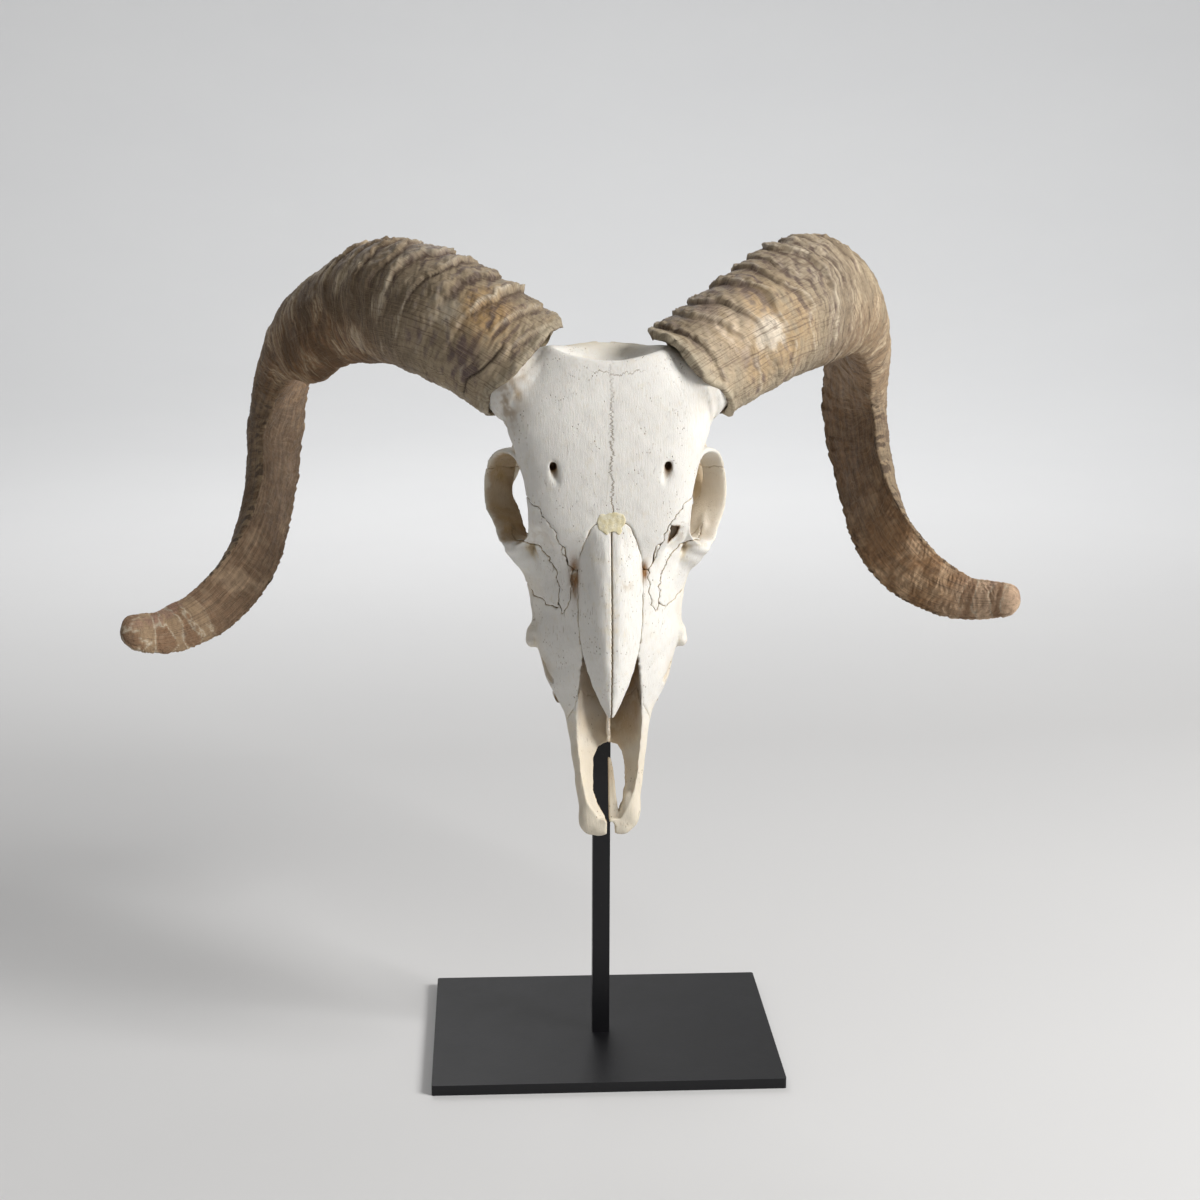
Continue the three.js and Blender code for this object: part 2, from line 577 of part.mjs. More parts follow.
// ---------------------------------------------------------------- the stand
function standBase() {
  const [w, d, r] = [BASE.width / 2, BASE.depth / 2, BASE.corner];
  const outline = new THREE.Shape()
    .moveTo(-w + r, -d).lineTo(w - r, -d).quadraticCurveTo(w, -d, w, -d + r)
    .lineTo(w, d - r).quadraticCurveTo(w, d, w - r, d)
    .lineTo(-w + r, d).quadraticCurveTo(-w, d, -w, d - r)
    .lineTo(-w, -d + r).quadraticCurveTo(-w, -d, -w + r, -d);
  return new THREE.ExtrudeGeometry(outline, { depth: BASE.thick, bevelEnabled: false, curveSegments: 4 });
}

function standRod() {
  const geometry = new THREE.BoxGeometry(ROD.side, ROD.side, ROD.top - BASE.thick);
  geometry.translate(ROD.x, ROD.y, (ROD.top + BASE.thick) / 2);
  return geometry;
}

addMesh(group, 'stand_base', standBase(), STEEL);
addMesh(group, 'stand_rod', standRod(), STEEL);

export default group;
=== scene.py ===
import math
import bpy
import numpy as np
from mathutils import Matrix, Vector

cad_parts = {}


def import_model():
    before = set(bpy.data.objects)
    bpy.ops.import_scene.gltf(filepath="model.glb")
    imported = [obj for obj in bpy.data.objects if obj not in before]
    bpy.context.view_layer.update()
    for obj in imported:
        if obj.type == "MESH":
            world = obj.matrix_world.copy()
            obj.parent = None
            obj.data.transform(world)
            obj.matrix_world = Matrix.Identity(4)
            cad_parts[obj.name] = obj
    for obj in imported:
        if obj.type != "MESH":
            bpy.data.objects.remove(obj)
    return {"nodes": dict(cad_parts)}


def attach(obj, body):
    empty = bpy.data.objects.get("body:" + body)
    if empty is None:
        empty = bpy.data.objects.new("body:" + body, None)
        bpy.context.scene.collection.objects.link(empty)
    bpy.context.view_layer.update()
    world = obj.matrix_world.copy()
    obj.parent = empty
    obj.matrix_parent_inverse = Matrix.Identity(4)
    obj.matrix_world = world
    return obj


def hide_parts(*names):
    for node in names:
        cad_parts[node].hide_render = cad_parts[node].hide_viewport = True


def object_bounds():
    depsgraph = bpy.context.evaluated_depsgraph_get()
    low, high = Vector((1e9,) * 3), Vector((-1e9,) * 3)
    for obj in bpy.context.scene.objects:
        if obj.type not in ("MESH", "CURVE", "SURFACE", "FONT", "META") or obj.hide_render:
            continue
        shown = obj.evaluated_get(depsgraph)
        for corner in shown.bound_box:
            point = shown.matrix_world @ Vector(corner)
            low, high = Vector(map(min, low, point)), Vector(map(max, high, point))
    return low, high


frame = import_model()
cad_low, cad_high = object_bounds()

# ------------------------------------------------------------------ the skull's own frame
# Millimetres: x to the animal's left, s down the face from the poll to the muzzle, d behind the face.
POLL = np.array([-0.5, -56.0, 407.0])
LEAN = math.radians(8)
RIGHT, LEFT = -1, 1
SIDE_NAME = {RIGHT: "right", LEFT: "left"}
SEAM = 0.06            # gap between neighbouring bones, mm
COARSE = 1.0


def placed(laid):
    """Skull frame (x, s, d) in mm to the row frame in metres: the whole skull leans back by LEAN."""
    x, s, d = laid.T
    y = d * math.cos(LEAN) - s * math.sin(LEAN)
    z = -d * math.sin(LEAN) - s * math.cos(LEAN)
    return (np.stack([x, y, z], 1) + POLL) / 1000


def keyed(keys):
    """Smooth curve through (s, value) keys: cubic pieces whose slopes follow the neighbouring keys."""
    at, value = np.array(keys, float).T
    wide = np.r_[at[0], at, at[-1]]
    tall = np.r_[value[0], value, value[-1]]
    slope = (tall[2:] - tall[:-2]) / (wide[2:] - wide[:-2])

    def curve(s):
        s = np.clip(s, at[0], at[-1])
        i = np.clip(np.searchsorted(at, s, "right") - 1, 0, len(at) - 2)
        span = at[i + 1] - at[i]
        w = (s - at[i]) / span
        blend = w * w * (3 - 2 * w)
        bend = (w ** 3 - 2 * w ** 2 + w) * slope[i] + (w ** 3 - w ** 2) * slope[i + 1]
        return ((1 - blend) * value[i] + blend * value[i + 1] + span * bend).astype(np.float32)

    return curve


def ease(x, low, high):
    """0 below low, 1 above high, and a smooth rise between."""
    w = np.clip((x - low) / (high - low), 0, 1)
    return w * w * (3 - 2 * w)


def bell(x, middle, width):
    """1 at the middle, falling off on both sides."""
    return np.exp(-((x - middle) / width) ** 2)


def waves(seed, points, size, octaves=3):
    """Soft noise from about -1 to 1: sine waves in seeded random directions, finer each octave."""
    rng = np.random.default_rng(seed)
    total = 0
    for octave in range(octaves):
        for _ in range(5):
            way = rng.normal(size=len(points))
            way *= 2 * math.pi * 2 ** octave / size / np.linalg.norm(way)
            turn = sum(np.float32(w) * p for w, p in zip(way, points)) + np.float32(rng.uniform(0, 6.28))
            total = total + np.sin(turn) * np.float32(0.55 ** octave)
    return total / 3.6


# ------------------------------------------------------------------ joining and carving bone
def melt(a, b, k):
    """Union of two distances, with a fillet of about k mm where they meet."""
    h = np.clip(0.5 + 0.5 * (b - a) / k, 0, 1)
    return b + (a - b) * h - k * h * (1 - h)


def carve(a, b, k):
    """a without b, its edge rounded by about k mm."""
    return -melt(-a, b, k)


def keep(a, b, k):
    """What a and b have in common, its edge rounded by about k mm."""
    return -melt(-a, -b, k)


def spline(ghost, i, t):
    """Catmull-Rom curve through points that have one ghost more at each end: the places and the speeds
    at t of the way past point i."""
    p0, p1, p2, p3 = ghost[i], ghost[i + 1], ghost[i + 2], ghost[i + 3]
    place = 0.5 * (2 * p1 + (p2 - p0) * t + (2 * p0 - 5 * p1 + 4 * p2 - p3) * t ** 2
                   + (3 * p1 - p0 - 3 * p2 + p3) * t ** 3)
    speed = 0.5 * ((p2 - p0) + 2 * (2 * p0 - 5 * p1 + 4 * p2 - p3) * t
                   + 3 * (3 * p1 - p0 - 3 * p2 + p3) * t ** 2)
    return place, speed


def mirrored_ends(points):
    """The points with one more at each end, mirrored through the last one there."""
    return np.vstack([2 * points[:1] - points[1:2], points, 2 * points[-1:] - points[-2:-1]])


def sided(low, high, side):
    """The corners of a box on the animal's left, or of its mirror image on the right."""
    return (low, high) if side == LEFT else ((-high[0], *low[1:]), (-low[0], *high[1:]))


class Bench:
    """A box of points, step mm apart, that holds the distance to a bone's surface."""

    def __init__(self, low, high, step):
        self.step = step * COARSE
        self.low = np.array(low, float)
        count = np.ceil((np.array(high, float) - self.low) / self.step).astype(int) + 1
        self.axes = [(self.low[a] + self.step * np.arange(count[a])).astype(np.float32) for a in range(3)]
        self.x, self.s, self.d = np.meshgrid(*self.axes, indexing="ij", sparse=True)

    def work(self, field, shape, how, k):
        """Melts a shape on or carves it out, only near the shape itself."""
        low, high, distance = shape
        cut = tuple(slice(*np.searchsorted(axis, (low[n] - k - 1, high[n] + k + 1)))
                    for n, axis in enumerate(self.axes))
        if all(one.start < one.stop for one in cut):
            here = np.meshgrid(*[axis[one] for axis, one in zip(self.axes, cut)], indexing="ij", sparse=True)
            field[cut] = how(field[cut], distance(*here).astype(np.float32), k)


def blob(centre, radii):
    """Ellipsoid: the distance from its middle, less its radius in that direction."""
    centre, radii = np.array(centre, float), np.array(radii, float)

    def distance(x, s, d):
        u, v, w = x - centre[0], s - centre[1], d - centre[2]
        far = np.sqrt(u * u + v * v + w * w) + 1e-6
        share = np.sqrt((u / radii[0]) ** 2 + (v / radii[1]) ** 2 + (w / radii[2]) ** 2) + 1e-6
        return far * (1 - 1 / share)

    return centre - radii, centre + radii, distance


def strap(points, halves, wide_along, closed=False, power=2.0):
    """A bar along a smooth path. Its section is a rounded box of half sizes (wide, thin), wide along a
    given direction squared to the path, and each point measures from the nearest piece of the path."""
    points, halves = np.array(points, float), np.array(halves, float)
    if closed:
        wrap, sizes = np.vstack([points, points[:1]]), np.vstack([halves, halves[:1]])
        ghost = np.vstack([points[-1:], wrap, points[1:2]])
    else:
        wrap, sizes = points, halves
        ghost = mirrored_ends(wrap)
    fine = np.linspace(0, len(wrap) - 1, (len(wrap) - 1) * (3 if len(wrap) < 8 else 2) + 1)
    i = np.clip(fine.astype(int), 0, len(wrap) - 2)
    t = (fine - i)[:, None]
    path = spline(ghost, i, t)[0]
    size = sizes[i] * (1 - t) + sizes[i + 1] * t
    margin = size.max() + 9

    def distance(x, s, d):
        result = np.full(np.broadcast_shapes(x.shape, s.shape, d.shape), 50, np.float32)
        lines = x[:, 0, 0], s[0, :, 0], d[0, 0, :]
        for a, b, sa, sb in zip(path[:-1], path[1:], size[:-1], size[1:]):
            span = [np.searchsorted(lines[n], (min(a[n], b[n]) - margin, max(a[n], b[n]) + margin))
                    for n in range(3)]
            if any(lo >= hi for lo, hi in span):
                continue
            cut = tuple(slice(*one) for one in span)
            u, v, w = x[cut[0]] - a[0], s[:, cut[1]] - a[1], d[:, :, cut[2]] - a[2]
            along = b - a
            length = np.linalg.norm(along)
            unit = along / length
            across = np.array(wide_along, float)
            across = across - across @ unit * unit
            across /= np.linalg.norm(across)
            other = np.cross(unit, across)
            run = np.clip((u * unit[0] + v * unit[1] + w * unit[2]) / length, 0, 1)
            u, v, w = u - run * along[0], v - run * along[1], w - run * along[2]
            far = np.sqrt(u * u + v * v + w * w) + 1e-6
            wide = np.abs(u * across[0] + v * across[1] + w * across[2])
            thin = np.abs(u * other[0] + v * other[1] + w * other[2])
            past = np.sqrt(np.maximum(far ** 2 - wide ** 2 - thin ** 2, 0))
            wide_half = sa[0] + (sb[0] - sa[0]) * run
            thin_half = sa[1] + (sb[1] - sa[1]) * run
            share = ((wide / wide_half) ** power + (thin / thin_half) ** power
                     + (past / thin_half) ** power) ** (1 / power) + 1e-6
            result[cut] = np.minimum(result[cut], far * (1 - 1 / share))
        return result

    reach = size.max()
    return path.min(0) - reach, path.max(0) + reach, distance


def section(x, d, half, front, back, widest, powers):
    """A section across the face: half ovals in front of and behind the widest place, each with its own
    roundness. The distance runs along the ray from the middle of the widest place."""
    depth = d - widest
    before = depth < 0
    reach = np.where(before, widest - front, back - widest)
    far = np.sqrt(x * x + depth * depth) + 1e-5
    out, deep = np.abs(x) / half + 1e-6, np.abs(depth) / reach + 1e-6
    share = np.where(before, (out ** powers[0] + deep ** powers[0]) ** (1 / powers[0]),
                     (out ** powers[1] + deep ** powers[1]) ** (1 / powers[1])) + 1e-6
    return far * (1 - 1 / share)


def face_loft(x, s, d, ends, half, front, back, widest, powers, k):
    """Sections for every s between two ends, which are rounded over by about k mm."""
    body = section(x, d, half(s), front(s), back(s), widest(s), powers)
    return keep(body, np.maximum(ends[0] - s, s - ends[1]), k).astype(np.float32)


def outline_distance(outline, x, y):
    """Distance to a closed outline in a plane, negative inside."""
    corners = np.array(outline, float)
    best = np.full(np.broadcast_shapes(x.shape, y.shape), 1e12)
    inside = np.zeros(best.shape, bool)
    for a, b in zip(corners, np.roll(corners, -1, 0)):
        e = b - a
        run = np.clip(((x - a[0]) * e[0] + (y - a[1]) * e[1]) / (e @ e), 0, 1)
        best = np.minimum(best, (x - a[0] - run * e[0]) ** 2 + (y - a[1] - run * e[1]) ** 2)
        if abs(e[1]) > 1e-9:
            inside ^= ((a[1] > y) != (b[1] > y)) & (x < a[0] + (y - a[1]) / e[1] * e[0])
    return (np.where(inside, -1, 1) * np.sqrt(best)).astype(np.float32)


def sample(bench, field, points):
    """The field between the bench's points, by the eight nearest of them."""
    at = np.clip((points - bench.low) / bench.step, 0, np.array(field.shape) - 1.001)
    i = at.astype(int)
    w = at - i
    total = 0
    for corner in range(8):
        pick = np.array([corner & 1, corner >> 1 & 1, corner >> 2])
        share = np.prod(np.where(pick, w, 1 - w), 1)
        a, b, c = (i + pick).T
        total = total + share * field[a, b, c]
    return total


def slope(bench, field, points):
    """How the field changes along x, s and d at these points."""
    h = 0.5 * bench.step
    return np.stack([sample(bench, field, points + way) - sample(bench, field, points - way)
                     for way in np.eye(3) * h], 1) / (2 * h)


def skin(bench, field):
    """Surface nets: one vertex in each cell that the surface crosses, at the mean of its crossings, and
    one four-sided face round each crossed edge. Then each vertex slides down the slope to the surface."""
    f = field.copy()
    for axis in range(3):
        for end in (0, -1):
            edge = [slice(None)] * 3
            edge[axis] = end
            f[tuple(edge)] = np.maximum(f[tuple(edge)], 0.2 * bench.step)
    solid = f < 0
    corners = [np.array([c & 1, c >> 1 & 1, c >> 2]) for c in range(8)]
    count = sum(solid[tuple(slice(o, n - 1 + o) for o, n in zip(c, f.shape))].astype(np.int8)
                for c in corners)
    cell = np.argwhere((count > 0) & (count < 8))
    index = np.full(count.shape, -1, np.int64)
    index[tuple(cell.T)] = np.arange(len(cell))
    total, crossings = np.zeros((len(cell), 3)), np.zeros((len(cell), 1))
    for c in corners:
        for axis in range(3):
            if c[axis]:
                continue
            step = np.eye(3, dtype=int)[axis]
            fa, fb = f[tuple((cell + c).T)], f[tuple((cell + c + step).T)]
            crossed = (fa < 0) != (fb < 0)
            share = np.where(crossed, fa / np.where(crossed, fa - fb, 1), 0)
            total += crossed[:, None] * (c + share[:, None] * step)
            crossings += crossed[:, None]
    points = bench.low + bench.step * (cell + total / crossings)
    faces = []
    for axis in range(3):
        low = [slice(None)] * 3
        high = [slice(None)] * 3
        low[axis], high[axis] = slice(0, -1), slice(1, None)
        edge = np.argwhere(solid[tuple(low)] != solid[tuple(high)])
        one, two = np.roll(np.eye(3, dtype=int), -(axis + 1), 0)[:2]
        quad = np.stack([index[tuple((edge - o).T)] for o in (one + two, two, 0 * one, one)], 1)
        outward = solid[tuple(edge.T)]
        faces.append(np.where(outward[:, None], quad, quad[:, ::-1]))
    faces = np.vstack(faces)
    for _ in range(3):
        way = slope(bench, f, points)
        move = sample(bench, f, points)[:, None] * way / np.maximum((way ** 2).sum(1, keepdims=True), 0.15)
        points = points - np.clip(move, -0.5 * bench.step, 0.5 * bench.step)
    normal = slope(bench, f, points)
    normal /= np.linalg.norm(normal, axis=1, keepdims=True) + 1e-9
    return points, faces, normal


# ------------------------------------------------------------------ horns: where they run
# stations from the rim to the tip: [x, back, up, half the section's chord], in mm from the poll
HORN_PATH = {
    RIGHT: [[-44, 32, -1, 33], [-79, 45, 23, 34.5], [-114, 74, 37, 35], [-147, 113, 34, 32.5],
            [-174, 146, 13, 28], [-188, 164, -30, 23.5], [-192, 157, -70, 20.5], [-202, 138, -106, 17.5],
            [-224, 118, -135, 15], [-248, 98, -148, 12], [-266, 85, -148, 9.5]],
    LEFT: [[45, 32, -3, 31], [76, 46, 17, 34], [108, 74, 35, 38], [136, 110, 41, 36],
           [153, 145, 20, 31.5], [157, 168, -19, 28], [162, 164, -58, 25], [171, 146, -93, 21],
           [188, 126, -119, 17], [211, 104, -133, 13.5], [235, 85, -134, 10]],
}
# at each station: half sizes to the outer and the inner face, and the way the inner face looks
# (towards the skull's middle, back, up)
HORN_SECTION = [
    [30, 17, 0.25, 0.93, -0.03], [30, 16, 0.42, 0.86, -0.03], [29, 14, 0.6, 0.76, 0],
    [27, 12, 0.78, 0.43, -0.46], [24, 8, 0.93, -0.05, -0.36], [21, 3, 0.92, -0.38, -0.05],
    [20, 2, 0.91, -0.4, -0.06], [17, 2, 0.83, -0.51, 0.13], [13, 3, 0.6, -0.74, 0.25],
    [10, 5, 0.25, -0.9, 0.28], [8, 6, 0.2, -0.9, 0.28],
]
TIP_LENGTH = 8.5       # of the round end past the last station, mm
SOCKET_LENGTH = 70     # of the hollow that holds the bony core, mm


def horn_frame(side, t):
    """At t, from 0 at the rim to 1 before the tip: the middle of the section, the way on, the way the
    inner face looks, the way to the crest, and the half sizes (chord, outer, inner), all in (x, s, d)."""
    station = np.array(HORN_PATH[side], float)
    last = len(station) - 1
    held = np.clip(t, 0, 1)
    at = held * last
    i = np.clip(at.astype(int), 0, last - 1)
    w = (at - i)[:, None]
    place = station[:, [0, 2, 1]] * [1, -1, 1]
    middle, along = spline(mirrored_ends(place), i, w)
    along /= np.linalg.norm(along, axis=1, keepdims=True)
    keys = np.linspace(0, 1, last + 1)
    table = [keyed(np.stack([keys, column], 1))(held) for column in np.array(HORN_SECTION, float).T]
    inward = np.stack([table[2] * -side, -table[4], table[3]], 1)
    inward -= (inward * along).sum(1, keepdims=True) * along
    inward /= np.linalg.norm(inward, axis=1, keepdims=True)
    crest = np.cross(along, inward) * side
    chord = keyed(np.stack([keys, station[:, 3]], 1))(held)
    return middle, along, inward, crest, np.stack([chord, table[0], table[1]], 1)


def horn_run(side):
    """The horn's length in mm, and the curve that gives t for a distance along it."""
    t = np.linspace(0, 1, 800)
    middle = horn_frame(side, t)[0]
    run = np.r_[0, np.cumsum(np.linalg.norm(np.diff(middle, axis=0), axis=1))]
    return run[-1], lambda a: np.interp(a, run, t)


def horn_core(side):
    """The bony core in the horn: the horn's own sections, less the sheath, round the nearest place on a
    chain of stations. It is lower than the sheath at the crest, and rounded at its end."""
    length, t_at = horn_run(side)
    run = np.linspace(-22, 62, 15)
    middle, along, inward, crest, sizes = horn_frame(side, t_at(np.clip(run, 0, length)))
    middle = middle + along * np.minimum(run, 0)[:, None]
    end = np.sqrt(np.clip(1 - (np.clip(run, 0, None) / 66) ** 3, 0.08, 1))
    wall = 2.2 + 2.6 * ease(run, -2, 5) + 7 * ease(-run, 8, 24)
    low_crest = (17 if side == RIGHT else 13) * (1 - ease(run, 4, 44)) + 4 * ease(-run, 0, 20)
    sizes = (sizes - wall[:, None] - np.stack([low_crest / 2, 0 * run, 0 * run], 1)) * end[:, None]
    middle = middle - crest * (low_crest / 2)[:, None]

    def distance(x, s, d):
        shape = np.broadcast_shapes(x.shape, s.shape, d.shape)
        nearest = np.full(shape, 1e3, np.float32)
        result = np.full(shape, 1e3, np.float32)
        for j in range(len(run) - 1):
            way = middle[j + 1] - middle[j]
            u, v, w = x - middle[j][0], s - middle[j][1], d - middle[j][2]
            share = np.clip((u * way[0] + v * way[1] + w * way[2]) / (way @ way), 0, 1)
            u, v, w = u - share * way[0], v - share * way[1], w - share * way[2]
            rise = u * crest[j][0] + v * crest[j][1] + w * crest[j][2]
            turn = u * inward[j][0] + v * inward[j][1] + w * inward[j][2]
            past = np.abs(u * along[j][0] + v * along[j][1] + w * along[j][2])
            half = [sizes[j][n] + (sizes[j + 1][n] - sizes[j][n]) * share for n in range(3)]
            reach = np.where(turn > 0, half[2], half[1])
            far = np.sqrt(rise * rise + turn * turn + past * past) + 1e-6
            out = np.sqrt((rise / half[0]) ** 2 + (turn / reach) ** 2 + (past / 9) ** 2) + 1e-6
            ring = far * (1 - 1 / out)
            near = past + 0.05 * far
            result = np.where(near < nearest, ring, result)
            nearest = np.minimum(nearest, near)
        return result

    return middle.min(0) - 34, middle.max(0) + 34, distance


# ------------------------------------------------------------------ shapes of the skull
# curves down the face: for each s a half width, or the depth of a surface or of the widest place
muzzle_half = keyed([[84, 36], [96, 39], [110, 40], [122, 39.6], [135, 38.8], [149, 39.4], [160, 36.6],
                     [170, 34], [180, 29], [190, 24], [212, 20.3], [230, 18.1], [243, 16], [250, 12.8],
                     [255.5, 6.5]])
muzzle_front = keyed([[84, -2.5], [92, -2], [100, 0], [130, 1], [150, 3], [160, 6], [186, 13], [212, 18],
                      [246, 21], [255, 22.5]])
muzzle_widest = keyed([[84, 30], [118, 37], [150, 42], [180, 35], [212, 29], [246, 27], [255, 26.5]])
palate = keyed([[84, 70], [100, 78], [116, 78], [135, 71], [150, 66], [165, 60], [180, 54], [190, 49],
                [212, 41], [230, 36], [246, 32], [255, 30]])
passage_half = keyed([[138, 9], [150, 14], [190, 17.6], [212, 16.2], [230, 13.8], [240, 11], [247, 6]])
passage_widest = keyed([[138, 20], [190, 24], [212, 25], [247, 23]])
passage_floor = keyed([[138, 44], [165, 48], [190, 40.5], [212, 33.5], [230, 29.8], [247, 25]])
roof_half = keyed([[96, 12], [110, 17], [150, 20], [185, 15], [210, 10], [232, 5]])
vault = keyed([[96, 30], [112, 24], [124, 13], [140, 9], [185, 4.5], [232, 1]])
nasal_half = keyed([[83, 4], [85, 9], [90, 12], [97, 14.8], [106, 16.9], [127, 17.3], [148, 16.1],
                    [160, 13.6], [170, 10.5], [180, 6.2], [187, 3], [189.5, 1.2]])
nasal_top = keyed([[83, -3.6], [100, -6.3], [130, -8.3], [160, -7], [180, -1.5], [189.5, 3]])
nasal_edge = keyed([[83, -3.2], [90, -1.8], [97, 1.4], [106, 4], [130, 5.6], [150, 7], [175, 7],
                    [189.5, 7.5]])
NASAL_THICK = 2.8
# the left orbit: its middle, its half sizes, and the ways across it and into the skull
MIDDLE_OF_ORBIT = np.array([54.5, 70.5, 29.0])
ORBIT_HIGH, ORBIT_WIDE = 24.8, 21.5
ACROSS = np.array([0.48, 0, 0.877])
INWARD = np.array([-0.877, 0, 0.48])
# how far out the forehead reaches over the orbit, and how the orbit narrows on its way in
brow_edge = keyed([[46, 57], [50, 52.3], [56, 48.3], [62, 46.2], [68, 45], [74, 44.2], [80, 43.7],
                   [88, 43.6], [92, 44.6], [96, 49], [100, 57]])
orbit_swell = keyed([[-30, 16], [-8, 2.5], [0, -0.8], [8, -2.6], [18, -4.6], [28, -9], [36, -17]])


def orbit_hollow(side):
    """The eye's hollow: ovals round the orbit's axis that shrink inwards to a blunt end."""
    def distance(x, s, d):
        u, w = x * side - MIDDLE_OF_ORBIT[0], d - MIDDLE_OF_ORBIT[2]
        across = u * ACROSS[0] + w * ACROSS[2]
        inset = u * INWARD[0] + w * INWARD[2]
        down = s - MIDDLE_OF_ORBIT[1]
        swell = orbit_swell(inset)
        swell = swell + 2.2 * bell(np.arctan2(across, down), -0.8, 0.5)
        far = np.sqrt(across ** 2 + down ** 2) + 1e-6
        share = np.sqrt((across / (ORBIT_WIDE + swell)) ** 2 + (down / (ORBIT_HIGH + swell)) ** 2) + 1e-6
        return np.maximum(np.maximum(far * (1 - 1 / share), inset - 35), -inset - 24)

    return *sided((12, 40, -14), (84, 112, 72), side), distance


def orbit_ring(side):
    """The orbit's bony rim: a strap round the oval, deep on the temple side and thin elsewhere."""
    turn = np.arange(20) * 2 * math.pi / 20
    temple, nose = np.clip(np.sin(turn), 0, 1), np.clip(-np.sin(turn), 0, 1)
    roof = np.clip(np.abs(np.cos(turn)) * 1.5 - 0.5, 0, 1) * (1 - 0.4 * nose)
    inset = 3.8 + 4.4 * np.maximum(temple, roof) - 1.5 * nose
    flat_corner = 5.6 if side == RIGHT else 4.2
    swell = 0.4 + 0.6 * temple + 0.5 * np.sin(3 * turn + 1)
    for height, at, width in ((1.6, 2.35, 0.4), (-flat_corner, 0.75, 0.42), (2.2, 5.5, 0.5)):
        swell = swell + height * bell(turn, at, width)
    points = (MIDDLE_OF_ORBIT + np.array([0, 1, 0]) * ((ORBIT_HIGH + swell) * np.cos(turn))[:, None]
              + ACROSS * ((ORBIT_WIDE + swell) * np.sin(turn))[:, None] + INWARD * inset[:, None])
    halves = np.stack([5.4 + 5.2 * np.maximum(temple, roof) - 1.6 * nose, 2.0 - 0.65 * temple], 1)
    mirror = np.array([side, 1, 1])
    return strap(points * mirror, halves, INWARD * mirror, closed=True, power=2.6)


